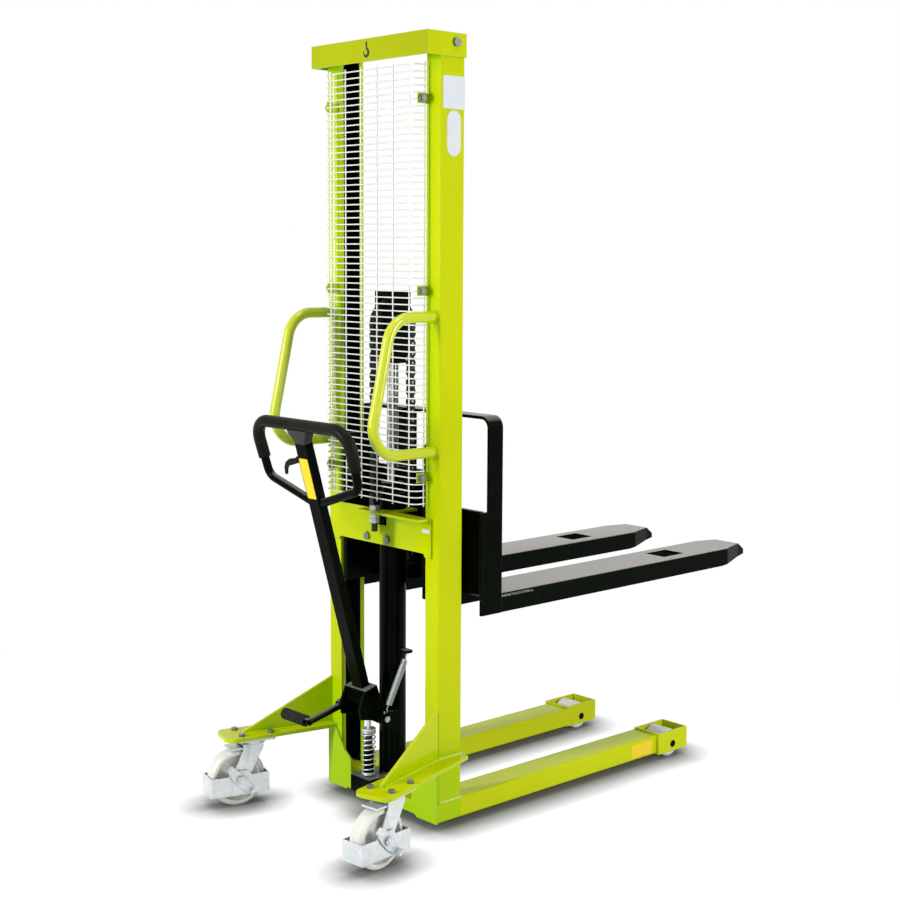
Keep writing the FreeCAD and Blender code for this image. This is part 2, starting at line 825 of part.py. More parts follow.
def build_bolts():
    """Hexagon bolts of the frame, at the caster plates, the crossbeam, the cap and the guard."""
    bolts = []
    spots = [(a, b) for a in ("bolt_along", "-bolt_along") for b in ("bolt_across", "-bolt_across")]
    under = "(bracket_wall + caster_plate_wall)"
    guard_x = "mast_rear - (guard_back + guard_front) / 2 + guard_bolt_ahead"
    guard_y = "guard_half + wire / 2"
    for side, sign in SIDES:
        axis = Y_AXIS * sign
        for a, b in spots:
            x, y = along_splay(sign, a, b)
            x = f"mast_rear + {x}"
            head = hexagon("caster_bolt_head", "bolt_head", "bolt_head_rise", x, y, "bracket_top")
            shank = bar("caster_bolt_shank", "bolt_radius", under, x, y, f"bracket_top - {under}")
            bolts.append(join("caster_bolt", [head, shank]))
        bolts.append(hexagon("cap_bolt", "cap_bolt_head", "bolt_head_rise",
                             "mast_rear + post_depth - cap_bolt_in", f"{sign} * (mast_half + cap_wall)",
                             "mast_height - cap_bolt_down", axis))
        for z in ("clip_high", "clip_middle", "clip_low"):
            washer = bar("guard_washer", "washer_radius", "washer_wall", guard_x, f"{sign} * ({guard_y})", z,
                         axis)
            head = hexagon("guard_bolt_head", "guard_bolt_head", "guard_bolt_rise", guard_x,
                           f"{sign} * ({guard_y} + washer_wall)", z, axis)
            bolts.append(join("guard_bolt", [washer, head]))
    for y in ("beam_bolt_left", "-beam_bolt_right"):
        head = hexagon("beam_bolt_head", "beam_bolt_head", "bolt_head_rise", "mast_rear - beam_wall", y,
                       "beam_bolt_rise", -X_AXIS)
        shank = bar("beam_bolt_shank", "bolt_radius", "beam_wall", "mast_rear - beam_wall", y,
                    "beam_bolt_rise", X_AXIS)
        bolts.append(join("beam_bolt", [head, shank]))
    keep("frame_bolts", group("frame_bolts", bolts))


def build_handles():
    """Bent tubes that stand off the rear face of each post."""
    for side, sign in SIDES:
        corners = [("0", "handle_top"), ("-handle_reach_top", "handle_top"),
                   ("-handle_reach_bottom", "handle_bottom"), ("0", "handle_bottom")]
        handle = pipe(f"grab_handle_{side}", "XZ_Plane", corners, ["handle_bend", "handle_bend"],
                      "YZ_Plane", ("0", "handle_top"), "handle_radius", "handle_radius - handle_wall")
        keep(f"grab_handle_{side}", place(handle, "mast_rear", f"{sign} * handle_side"))


def net_face(low_u, high_u, columns, corner, u_axis, normal):
    """Flat welded net as one face with its gaps as holes, thickened by the wire."""
    wire = number("wire")
    low, high = number("guard_low"), number("guard_high")
    rows = int(round((high - low) / number("guard_pitch")))
    step = (high - low - wire) / rows

    def loop(a, b, c, d):
        ends = [corner + u_axis * u + Z_AXIS * z for u, z in ((a, c), (b, c), (b, d), (a, d), (a, c))]
        return Part.makePolygon(ends)

    outline = Part.Face(loop(low_u, high_u, low, high))
    holes = []
    for left, right in zip(columns[:-1], columns[1:]):
        for row in range(rows):
            z = low + wire + row * step
            holes.append(loop(left + wire / 2, right - wire / 2, z, z + step - wire))
    face = Part.Face([outline.OuterWire] + holes)
    face.validate()
    return face.extrude(normal * wire)


def build_guard():
    """Welded wire guard behind the mast: a wide net with a narrow net bent forward at each side."""
    wire = number("wire")
    half, back, front = number("guard_half"), number("guard_back"), number("guard_front")
    step, count = number("guard_column"), int(number("guard_columns"))
    inner = [step * (i - (count - 1) / 2) for i in range(count)]
    columns = [wire / 2 - half] + inner + [half - wire / 2]
    panel = net_face(-half, half, columns, Vector(-back - wire / 2, 0, 0), Y_AXIS, X_AXIS)
    ends = [-back + wire, -front - wire / 2]
    solids = [panel]
    for _, sign in SIDES:
        solids.append(net_face(-back + wire / 2, -front, ends, Vector(0, sign * half - wire / 2, 0), X_AXIS,
                               Y_AXIS))
    guard = doc.addObject("Part::Feature", "wire_guard")
    guard.Shape = Part.makeCompound(solids)
    keep("wire_guard", place(guard, "mast_rear"))


def build_clips():
    """Lugs on the posts that the guard is bolted to."""
    lugs = []
    for side, sign in SIDES:
        low = "guard_half - wire / 2 - clip_wall" if sign > 0 else "-guard_half + wire / 2"
        for z in ("clip_high", "clip_middle", "clip_low"):
            lugs.append(box("guard_lug", "mast_rear - clip_back", low, f"{z} - clip_half",
                            "clip_back", "clip_wall", "2 * clip_half"))
    keep("guard_clips", group("guard_clips", lugs))


def build_cylinder():
    """Lift cylinder with its gland, the lugs of the tiller and the return spring, and the rod in it."""
    x, foot, top = "mast_rear + cylinder_x", "floor_top", "cylinder_top"
    seal, gland = "rod_radius + running_gap", "cylinder_top + gland_rise"
    profile = [("0", foot), ("cylinder_radius", foot), ("cylinder_radius", top), ("gland_radius", top),
               ("gland_radius", gland), (seal, gland), (seal, f"{gland} - gland_depth"),
               ("cylinder_bore", f"{gland} - gland_depth"), ("cylinder_bore", f"{foot} + cylinder_foot"),
               ("0", f"{foot} + cylinder_foot")]
    tube = place(turned("cylinder_tube", profile), x)
    low = "lug_rise - lug_wall / 2"
    lug = box("cylinder_lug", f"{x} + lug_offset - lug_half", "-cylinder_radius - lug_reach", low,
              "2 * lug_half", "lug_reach + lug_root", "lug_wall")
    hole = bar("cylinder_lug_hole", "return_wire / 2 + lug_gap", "lug_wall + 2 * cut_over",
               f"{x} + lug_offset", "-return_side", f"{low} - cut_over")
    half, reach = "pivot_lug_half", "cylinder_x - pivot_x"
    outline = [(f"-{half}", f"-{half} / 2"), (f"-{half} / 2", f"-{half}"), (reach, "-pivot_lug_drop"),
               (reach, half), (f"-{half} / 2", half), (f"-{half}", f"{half} / 2")]
    lugs = []
    for inner in ("pivot_lug_inner", "-pivot_lug_inner - pivot_lug_wall"):
        ear = plate("pivot_lug", "XZ_Plane", outline, "pivot_lug_wall",
                    [("0", "0", "pivot_radius + running_gap")], reverse=True)
        lugs.append(place(ear, "mast_rear + pivot_x", inner, "pivot_z"))
    keep("lift_cylinder", join("lift_cylinder", [tube, cut("lug_cut", lug, hole)] + lugs))
    keep("lift_rod", bar("lift_rod", "rod_radius", "yoke_bottom - rod_low", x, "0", "rod_low"))


def build_head():
    """Yoke on the rod with its axle, the chain pulley and the chain that lies round it."""
    x = "mast_rear + cylinder_x"
    inner = "pulley_half + side_gap"
    shape = [("-yoke_half_bottom", "yoke_bottom"), ("yoke_half_bottom", "yoke_bottom"),
             ("yoke_half_top", "pulley_z - yoke_shoulder"), ("yoke_half_top", "yoke_top"),
             ("-yoke_half_top", "yoke_top"), ("-yoke_half_top", "pulley_z - yoke_shoulder")]
    cheeks = []
    for low in (inner, f"-({inner}) - yoke_wall"):
        cheeks.append(place(plate("yoke_cheek", "XZ_Plane", shape, "yoke_wall", reverse=True), x, low))
    bridge = box("yoke_bridge_block", f"{x} - yoke_half_top", f"-({inner})", "yoke_top - yoke_bridge",
                 "2 * yoke_half_top", f"2 * ({inner})", "yoke_bridge")
    block = box("yoke_block_low", f"{x} - yoke_half_bottom", f"-({inner})", "yoke_bottom",
                "2 * yoke_half_bottom", f"2 * ({inner})", "yoke_block")
    axle = bar("pulley_axle", "axle_radius", f"2 * ({inner} + yoke_wall)", x, f"-({inner}) - yoke_wall",
               "pulley_z", Y_AXIS)
    keep("chain_yoke", join("chain_yoke", cheeks + [bridge, block, axle]))
    groove = "pulley_pitch - chain_depth / 2 - chain_gap"
    bore, lip = "axle_radius + running_gap", "pulley_groove + pulley_slope"
    profile = [(bore, "-pulley_half"), ("pulley_flange", "-pulley_half"), ("pulley_flange", f"-({lip})"),
               (groove, "-pulley_groove"), (groove, "pulley_groove"), ("pulley_flange", lip),
               ("pulley_flange", "pulley_half"), (bore, "pulley_half")]
    keep("chain_pulley", place(turned("chain_pulley", profile), x, "0", "pulley_z", X_AXIS, "90"))
    rings = []
    for radius, width in (("pulley_pitch + chain_depth / 2", "chain_width"),
                          ("pulley_pitch - chain_depth / 2", "chain_width + 2 * cut_over")):
        ring = doc.addObject("Part::Cylinder", "chain_ring")
        ring.setExpression("Radius", bind(radius))
        ring.setExpression("Height", bind(width))
        ring.Angle = 180
        rings.append(place(ring, x, f"({width}) / 2", "pulley_z", X_AXIS, "90"))
    keep("chain_wrap", cut("chain_wrap", *rings))


def build_chain_runs():
    """The two straight runs of the chain: down to the crossbeam behind, down to the carriage in front."""
    for label, x, low in (("chain_run_fixed", "cylinder_x - pulley_pitch", "anchor_head"),
                          ("chain_run_carriage", "cylinder_x + pulley_pitch", "clevis_high")):
        run = box(label, f"mast_rear + {x} - chain_depth / 2", "-chain_width / 2", low,
                  "chain_depth", "chain_width", f"pulley_z - {low}")
        keep(label, run)


def build_pump():
    """Pump block round the foot of the cylinder, with the plunger's sleeve and the release valve's rod."""
    plunger = "mast_rear + plunger_x"
    block = box("pump_block", "mast_rear - pump_back", "-pump_half", "floor_top", "pump_back + pump_front",
                "2 * pump_half", "pump_top - floor_top")
    seat = bar("pump_seat", "cylinder_radius + socket_gap", "pump_top - floor_top + 2 * cut_over",
               "mast_rear + cylinder_x", "0", "floor_top - cut_over")
    sleeve = bar("pump_sleeve", "sleeve_radius", "sleeve_top - pump_top", plunger, "0", "pump_top")
    valve = bar("pump_valve_rod", "valve_radius", "valve_top - pump_top", "mast_rear + valve_x",
                "valve_side", "pump_top")
    solid = join("pump_solid", [cut("pump_socket", block, seat), sleeve, valve])
    bore = bar("pump_bore", "plunger_radius + running_gap", "sleeve_top - floor_top - pump_floor + cut_over",
               plunger, "0", "floor_top + pump_floor")
    keep("pump_body", cut("pump_body", solid, bore))
    reach = "(rocker_inner + rocker_wall + pivot_proud)"
    pin = bar("tiller_pin", "pivot_radius", f"2 * {reach}", "mast_rear + pivot_x", f"-{reach}", "pivot_z",
              Y_AXIS)
    keep("tiller_pin", pin)
    head = "plunger_cap - plunger_cap_wall"
    profile = [("0", "plunger_low"), ("plunger_radius", "plunger_low"), ("plunger_radius", head),
               ("plunger_cap_radius", head), ("plunger_cap_radius", "plunger_cap"),
               ("plunger_stem_radius", "plunger_cap"), ("plunger_stem_radius", "plunger_tip"),
               ("0", "plunger_tip")]
    keep("pump_plunger", place(turned("pump_plunger", profile), plunger))


def arc_from(start, heading, end):
    """Circular edge that leaves start along heading and reaches end, or a line where they are in line."""
    chord = end - start
    side = chord - heading * chord.dot(heading)
    if side.Length < 1e-6:
        return Part.makeLine(start, end)
    side.normalize()
    radius = chord.Length ** 2 / (2 * chord.dot(side))
    centre = start + side * radius
    middle = ((start - centre) + (end - centre)).normalize() * radius
    return Part.Arc(start, centre + middle, end).toShape()


def biarc(start, heading, end, arrival):
    """Two circular edges that join two points and meet both headings and each other without a kink."""
    chord = end - start
    both = heading + arrival
    a = 2 * (1 - heading.dot(arrival))
    b = 2 * chord.dot(both)
    c = -chord.dot(chord)
    if a < 1e-9:
        reach = -c / b
    else:
        reach = (-b + math.sqrt(b * b - 4 * a * c)) / (2 * a)
    meet = (start + heading * reach + end - arrival * reach) * 0.5
    first = arc_from(start, heading, meet)
    back = arc_from(end, arrival * -1, meet)
    return [first, back]


def wound_tube(stations, wire):
    """Round wire through stations of point and heading, as one unbroken tube."""
    edges = []
    for (p, u), (q, v) in zip(stations[:-1], stations[1:]):
        edges += biarc(p, u, q, v)
    spine = Part.Wire(Part.sortEdges(edges)[0])
    start, heading = stations[0]
    section = Part.Wire([Part.makeCircle(wire / 2, start, heading)])
    shell = Part.BRepOffsetAPI.MakePipeShell(spine)
    shell.add(section)
    shell.build()
    shell.makeSolid()
    return shell.shape()


def helix_stations(mean, pitch, turns, low):
    """Quarter-turn stations of a helix about the Z axis that starts at a height."""
    rise = pitch / (2 * math.pi)
    run = math.hypot(mean, rise)
    stations = []
    for i in range(int(round(4 * turns)) + 1):
        angle = i * math.pi / 2
        point = Vector(mean * math.cos(angle), mean * math.sin(angle), low + rise * angle)
        heading = Vector(-mean * math.sin(angle) / run, mean * math.cos(angle) / run, rise / run)
        stations.append((point, heading))
    return stations


def least_gap(stations, wire):
    """Least distance between parts of the wound wire, less the wire, measured on its stations."""
    points = [p for p, _ in stations]
    return min((points[i] - points[j]).Length for i in range(len(points)) for j in range(i)
               if i - j >= 3) - wire


def build_springs():
    """Compression spring round the plunger and extension spring that draws the tiller upright."""
    wire, mean, turns = number("spring_wire"), number("spring_mean"), int(number("spring_turns"))
    low = number("pump_top + spring_seat") + wire / 2
    high = number("plunger_cap - plunger_cap_wall - spring_seat") - wire / 2
    stations = helix_stations(mean, (high - low) / turns, turns, low)
    first, last = stations[0], stations[-1]
    lead = [(first[0] - first[1] * wire, first[1])]
    tail = [(last[0] + last[1] * wire, last[1])]
    print("plunger spring gap", round(least_gap(stations, wire), 2))
    spring = doc.addObject("Part::Feature", "plunger_spring")
    spring.Shape = wound_tube(lead + stations + tail, wire)
    keep("plunger_spring", place(spring, "mast_rear + plunger_x"))
    wire, mean, pitch = number("return_wire"), number("return_mean"), number("return_pitch")
    hook, lug = return_spring_ends()
    length = (lug - hook).Length
    lead_length = number("return_lead")
    turns = int((length - 2 * lead_length) / pitch * 4) / 4
    low = (length - turns * pitch) / 2
    stations = helix_stations(mean, pitch, turns, low)
    print("return spring gap", round(least_gap(stations, wire), 2))
    lead = [(Vector(0, 0, 0), Z_AXIS), (Vector(0, 0, wire), Z_AXIS)]
    tail = [(Vector(0, 0, length - wire), Z_AXIS), (Vector(0, 0, length), Z_AXIS)]
    spring = doc.addObject("Part::Feature", "return_spring")
    spring.Shape = wound_tube(lead + stations + tail, wire)
    spring.Placement = Placement(hook, Rotation(Z_AXIS, lug - hook))
    keep("return_spring", spring)


def return_spring_ends():
    """Hook on the rocker and seat on the cylinder's lug that the return spring runs between."""
    lean = math.radians(number("tiller_lean"))
    x, up = number("hook_x"), number("hook_up + hook_radius + hook_clear")
    hook = Vector(number("mast_rear + tiller_x") + x * math.cos(lean) + up * math.sin(lean),
                  -number("return_side"),
                  number("tiller_z") - x * math.sin(lean) + up * math.cos(lean))
    lug = Vector(number("mast_rear + cylinder_x + lug_offset"), -number("return_side"),
                 number("lug_rise - lug_wall / 2 - lug_clear"))
    return hook, lug


def on_tiller(piece):
    """Put a piece drawn along an upright tiller onto the leaning one."""
    return place(piece, "mast_rear + tiller_x", "0", "tiller_z", Y_AXIS, "tiller_lean")


def build_tiller():
    """Rectangular tiller tube with the ears of the trigger, its loop and the moulded grip."""
    deep, wide, wall = "tiller_half_deep", "tiller_half_wide", "tiller_wall"
    length = "(loop_top - grip_radius - tube_gap - tiller_low)"
    outside = box("tiller_outside", f"-{deep}", f"-{wide}", "tiller_low", f"2 * {deep}", f"2 * {wide}",
                  length)
    inside = box("tiller_inside", f"-{deep} + {wall}", f"-{wide} + {wall}", "tiller_low - cut_over",
                 f"2 * ({deep} - {wall})", f"2 * ({wide} - {wall})", f"{length} - {wall} + cut_over")
    ears = []
    for low in ("trigger_half + side_gap", "-trigger_half - side_gap - trigger_ear"):
        ears.append(box("trigger_ears", low, wide, "trigger_up - trigger_eye", "trigger_ear",
                        f"trigger_side - {wide} + trigger_eye", "2 * trigger_eye"))
    reach = "(trigger_half + side_gap + trigger_ear)"
    pin = bar("trigger_pin_bar", "trigger_pin", f"2 * {reach}", f"-{reach}", "trigger_side", "trigger_up",
              X_AXIS)
    keep("tiller_tube", on_tiller(join("tiller_tube", [cut("tiller_hollow", outside, inside), pin] + ears)))
    corners = [("0", "loop_top"), ("loop_half", "loop_top"), ("loop_waist", "loop_waist_up"),
               ("loop_join", "loop_join_up")]
    loop = pipe("tiller_loop", "YZ_Plane", corners, ["loop_bend", "loop_bend_low"], "XZ_Plane",
                ("0", "loop_top"), "loop_radius", "loop_radius - loop_wall", mirror="XZ_Plane")
    keep("tiller_loop", on_tiller(loop))
    foot = "loop_half - (loop_half - loop_waist) * grip_down / loop_waist_down"
    corners = [("0", "loop_top"), ("loop_half", "loop_top"), (foot, "grip_end")]
    grip = pipe("tiller_grip", "YZ_Plane", corners, ["loop_bend"], "XZ_Plane", ("0", "loop_top"),
                "grip_radius", "loop_radius + grip_gap", mirror="XZ_Plane")
    keep("tiller_grip", on_tiller(grip))


def build_trigger():
    """Release trigger: a finger hook with an eye that turns on the pin at the tiller's left side."""
    side, up, eye = "trigger_side", "trigger_up", "trigger_eye"
    edge = f"{side} - {eye} + trigger_flat"
    corners = [(side, f"{up} + {eye}"), (edge, f"{up} + {eye} / 2"), (edge, f"{up} - {eye} / 2"),
               (side, f"{up} - {eye}")]
    for reach, fall in HOOK_LOWER + HOOK_UPPER[::-1]:
        corners.append((f"{side} + trigger_reach * {reach}", f"{up} - trigger_fall * {fall}"))
    lever = plate("release_trigger", "YZ_Plane", corners, "2 * trigger_half",
                  [(side, up, "trigger_pin + running_gap")], middle=True)
    keep("release_trigger", on_tiller(lever))


def build_rocker():
    """Side plates below the tiller that turn on its pin, the roller on the plunger, and the pedal."""
    lean = "tiller_lean"
    dx, dz = "(pivot_x - tiller_x)", "(pivot_z - tiller_z)"
    pivot = (f"{dx} * cos({lean}) - {dz} * sin({lean})", f"{dx} * sin({lean}) + {dz} * cos({lean})")
    rx = "(press_roller_x - tiller_x)"
    rz = "(plunger_tip + press_roller_radius + press_gap - tiller_z)"
    press = (f"{rx} * cos({lean}) - {rz} * sin({lean})", f"{rx} * sin({lean}) + {rz} * cos({lean})")
    shape = [(f"{pivot[0]} - rocker_eye", f"{pivot[1]} - rocker_eye"),
             (f"{pivot[0]} + rocker_eye", f"{pivot[1]} - rocker_eye"),
             (f"{pivot[0]} + rocker_brow", f"{pivot[1]} + rocker_brow_rise"),
             ("rocker_block_half + rocker_lip", "rocker_block_low"), ("rocker_block_half", "tiller_low"),
             ("-rocker_block_half", "tiller_low"), ("pedal_x - rocker_pad_top", "pedal_up + rocker_pad"),
             ("pedal_x - rocker_pad", "pedal_up - rocker_pad"),
             (f"{press[0]} - press_back", f"{press[1]} - press_back_drop"),
             (f"{press[0]} - press_front", f"{press[1]} - rocker_eye")]
    plates = []
    for low in ("rocker_inner", "-rocker_inner - rocker_wall"):
        side = plate("rocker_side", "XZ_Plane", shape, "rocker_wall",
                     [(*pivot, "pivot_radius + running_gap")], reverse=True)
        plates.append(place(side, "0", low))
    block = box("rocker_block", "-rocker_block_half", "-rocker_inner", "rocker_block_low",
                "2 * rocker_block_half", "2 * rocker_inner", "tiller_low - rocker_block_low")
    pin = bar("press_pin", "press_pin_radius", "2 * rocker_inner", press[0], "-rocker_inner", press[1],
              Y_AXIS)
    roller = bar("press_roller", "press_roller_radius", "2 * tiller_half_wide", press[0],
                 "-tiller_half_wide", press[1], Y_AXIS)
    hook = bar("spring_hook", "hook_radius", "hook_reach", "hook_x",
               "-rocker_inner - rocker_wall - hook_reach", "hook_up", Y_AXIS)
    keep("tiller_rocker", on_tiller(join("tiller_rocker", plates + [block, pin, roller, hook])))


def build_pedal():
    """Pedal arm with its boss on the rocker's left side and a crosswise bar for the rubber grip."""
    angle = "(-90 - pedal_drop - tiller_lean)"
    end = (f"pedal_x + pedal_arm * sin({angle})", f"pedal_up + pedal_arm * cos({angle})")
    root = "rocker_inner + rocker_wall"
    middle = f"{root} + pedal_boss_wall / 2"
    boss = bar("pedal_boss", "pedal_boss_radius", "pedal_boss_wall", "pedal_x", root, "pedal_up", Y_AXIS)
    arm = doc.addObject("Part::Cylinder", "pedal_arm_bar")
    arm.setExpression("Radius", bind("pedal_arm_radius"))
    arm.setExpression("Height", bind("pedal_arm"))
    place(arm, "pedal_x", middle, "pedal_up", Y_AXIS, angle)
    stub = bar("pedal_stub_bar", "pedal_arm_radius", "pedal_grip_length + pedal_stub_in", end[0],
               f"{middle} - pedal_stub_in", end[1], Y_AXIS)
    keep("foot_pedal", on_tiller(join("foot_pedal", [boss, arm, stub])))
    inner, outer = "pedal_arm_radius + grip_gap", "pedal_grip_radius"
    valley, low = f"{outer} - pedal_rib_depth", "pedal_arm_radius + pedal_grip_start"
    step = f"(pedal_grip_length - {low}) / {RIBS}"
    outline = [(inner, low)]
    for i in range(RIBS):
        shares = ((outer, i), (outer, i + RIB_TOP), (valley, i + RIB_SLOPE), (valley, i + RIB_GROOVE))
        outline += [(radius, f"{low} + {step} * {share}") for radius, share in shares]
    outline += [(valley, "pedal_grip_length"), (inner, "pedal_grip_length")]
    grip = place(turned("pedal_grip_turned", outline), end[0], middle, end[1], X_AXIS, "-90")
    keep("pedal_grip", on_tiller(group("pedal_grip", [grip])))


def build_carriage():
    """Lift carriage: cross plate and bridge, two cheeks with stub axles for the posts, chain clevis."""
    half = [("cheek_outer", "carriage_low"), ("carriage_half", "carriage_flare"),
            ("carriage_half", "carriage_high")]
    corners = half + [(f"-{y}", z) for y, z in reversed(half)]
    front = plate("carriage_front", "YZ_Plane", corners, "carriage_wall")
    place(front, "mast_rear + carriage_plate_x")
    bridge = box("carriage_bridge", "mast_rear + carriage_plate_x", "-cheek_outer", "carriage_high",
                 "carriage_wall", "2 * cheek_outer", "bridge_high - carriage_high")
    parts = [front, bridge]
    for side, sign in SIDES:
        inner = "cheek_outer - carriage_wall" if sign > 0 else "-cheek_outer"
        parts.append(box(f"carriage_cheek_{side}", "mast_rear + cheek_back", inner, "carriage_low",
                         "carriage_plate_x - cheek_back", "carriage_wall", "cheek_high - carriage_low"))
        for z in ("guide_low", "guide_high"):
            parts.append(bar("guide_stub", "guide_axle", "guide_side + guide_half - cheek_outer",
                             "mast_rear + post_depth / 2", f"{sign} * cheek_outer", z, Y_AXIS * sign))
    keep("carriage_frame", join("carriage_frame", parts))
    back = "cylinder_x + pulley_pitch - chain_depth / 2 - clevis_over"
    clevis = box("chain_clevis", f"mast_rear + {back}", "-clevis_half", "clevis_low",
                 f"carriage_plate_x - ({back})", "2 * clevis_half", "clevis_high - clevis_low")
    keep("chain_clevis", clevis)


def build_guide_rollers():
    """Four rollers that run between the flanges of the posts."""
    bore, neck = "guide_axle + running_gap", "guide_radius - guide_round"
    low = "-guide_half + side_gap"
    profile = [(bore, low), (neck, low), ("guide_radius", "-guide_half + guide_round"),
               ("guide_radius", "guide_half - guide_round"), (neck, "guide_half"), (bore, "guide_half")]
    for side, sign in SIDES:
        turn = "90" if sign < 0 else "-90"
        for level in ("low", "high"):
            label = f"guide_roller_{level}_{side}"
            roller = place(turned(label, profile), "mast_rear + post_depth / 2", f"{sign} * guide_side",
                           f"guide_{level}", X_AXIS, turn)
            keep(label, roller)


def ribbon(sign, rows):
    """Outline in plan from rows of a length and its two distances from the middle plane."""
    near = [(x, f"{sign} * ({a})") for x, a, _ in rows]
    far = [(x, f"{sign} * ({b})") for x, _, b in reversed(rows)]
    return near + far


def build_forks():
    """Inverted channel forks with a tapered nose, a roller slot and a stiffener at the heel."""
    heel, height = "carriage_plate_x + carriage_wall", "(fork_top - fork_bottom)"
    wall, beyond = "fork_wall", "fork_tip + cut_over"
    inner, outer = "fork_inner", "carriage_half"
    middle = "(fork_inner + carriage_half) / 2"
    nose = (f"{middle} - fork_nose_half", f"{middle} + fork_nose_half")
    plan = [(heel, inner, outer), ("fork_taper", inner, outer), ("fork_nose", *nose),
            ("fork_tip", f"{nose[0]} + fork_nose_in", f"{nose[1]} - fork_nose_in")]
    room = [(f"{heel} - cut_over", f"{inner} + {wall}", f"{outer} - {wall}"),
            ("fork_taper", f"{inner} + {wall}", f"{outer} - {wall}"),
            (f"fork_nose - 2 * {wall}", f"{nose[0]} + {wall}", f"{nose[1]} - {wall}")]
    window = [(x, f"{middle} - slot_half", f"{middle} + slot_half") for x in ("slot_back", "slot_front")]
    tip = f"{height} - fork_nose_rise"
    above = [("fork_nose", height), ("fork_tip", tip), (beyond, tip), (beyond, f"{height} + cut_over"),
             ("fork_nose", f"{height} + cut_over")]
    below = [("fork_toe", "0"), ("fork_tip", "fork_toe_rise"), (beyond, "fork_toe_rise"),
             (beyond, "-cut_over"), ("fork_toe", "-cut_over")]
    back, low = "rest_back + rest_width", "fork_bottom + foot_rise"
    strap_shape = [(back, low), ("stiffener_front", low),
                   ("stiffener_front - stiffener_lean", "stiffener_top - stiffener_slope"),
                   ("stiffener_front - stiffener_slope - stiffener_lean", "stiffener_top"),
                   (back, "stiffener_top")]
    top_z = number(height)
    forward = along(X_AXIS)
    for side, sign in SIDES:
        fork = plate(f"fork_body_{side}", "XY_Plane", ribbon(sign, plan), height)
        for corners in (above, below):
            wedge = new_sketch(fork, "XZ_Plane")
            polygon(wedge, corners)
            pocket(fork, wedge)
        round_edges(fork, "fork_round", lambda a, b: forward(a, b) and abs(a.z - top_z) < SAME_PLACE)
        hollow = new_sketch(fork, "XY_Plane")
        polygon(hollow, ribbon(sign, room))
        pocket(fork, hollow, f"{height} - fork_wall", reverse=True)
        slot = new_sketch(fork, "XY_Plane")
        polygon(slot, ribbon(sign, window))
        pocket(fork, slot)
        place(fork, "mast_rear", "0", "fork_bottom")
        strap = plate(f"fork_stiffener_{side}", "XZ_Plane", strap_shape, "stiffener_wall", reverse=True)
        place(strap, "mast_rear", outer if sign > 0 else f"-{outer} - stiffener_wall")
        keep(f"fork_{side}", join(f"fork_{side}", [fork, strap]))


def build_backrest():
    """Flat bar hoop with two inner uprights that keeps the load off the mast."""
    inner, outer, low = "carriage_half", "(carriage_half + rest_wall)", "fork_bottom + foot_rise"
    half = [(inner, "rest_top - rest_wall"), (inner, low), (outer, low), (outer, "rest_top")]
    corners = half + [(f"-{y}", z) for y, z in reversed(half)]
    hoop = plate("backrest_hoop", "YZ_Plane", corners, "rest_width")
    lengthwise = along(X_AXIS)
    for radius, top in (("rest_corner", "rest_top"), ("rest_corner - rest_wall", "rest_top - rest_wall")):
        level = number(top)
        round_edges(hoop, radius, lambda a, b: lengthwise(a, b) and abs(a.z - level) < SAME_PLACE)
    place(hoop, "mast_rear + rest_back")
    feet = []
    for side, sign in SIDES:
        feet.append(box(f"backrest_foot_{side}", "mast_rear + carriage_plate_x",
                        inner if sign > 0 else f"-{outer}", low, "rest_back - carriage_plate_x", "rest_wall",
                        f"rest_foot - ({low})"))
        feet.append(box(f"backrest_upright_{side}", "mast_rear + carriage_plate_x + carriage_wall",
                        f"{sign} * rest_bar_side - rest_wall / 2", "rest_bar_low",
                        "rest_back + rest_width - carriage_plate_x - carriage_wall", "rest_wall",
                        "rest_top - rest_wall / 2 - rest_bar_low"))
    keep("backrest", join("backrest", [hoop] + feet))


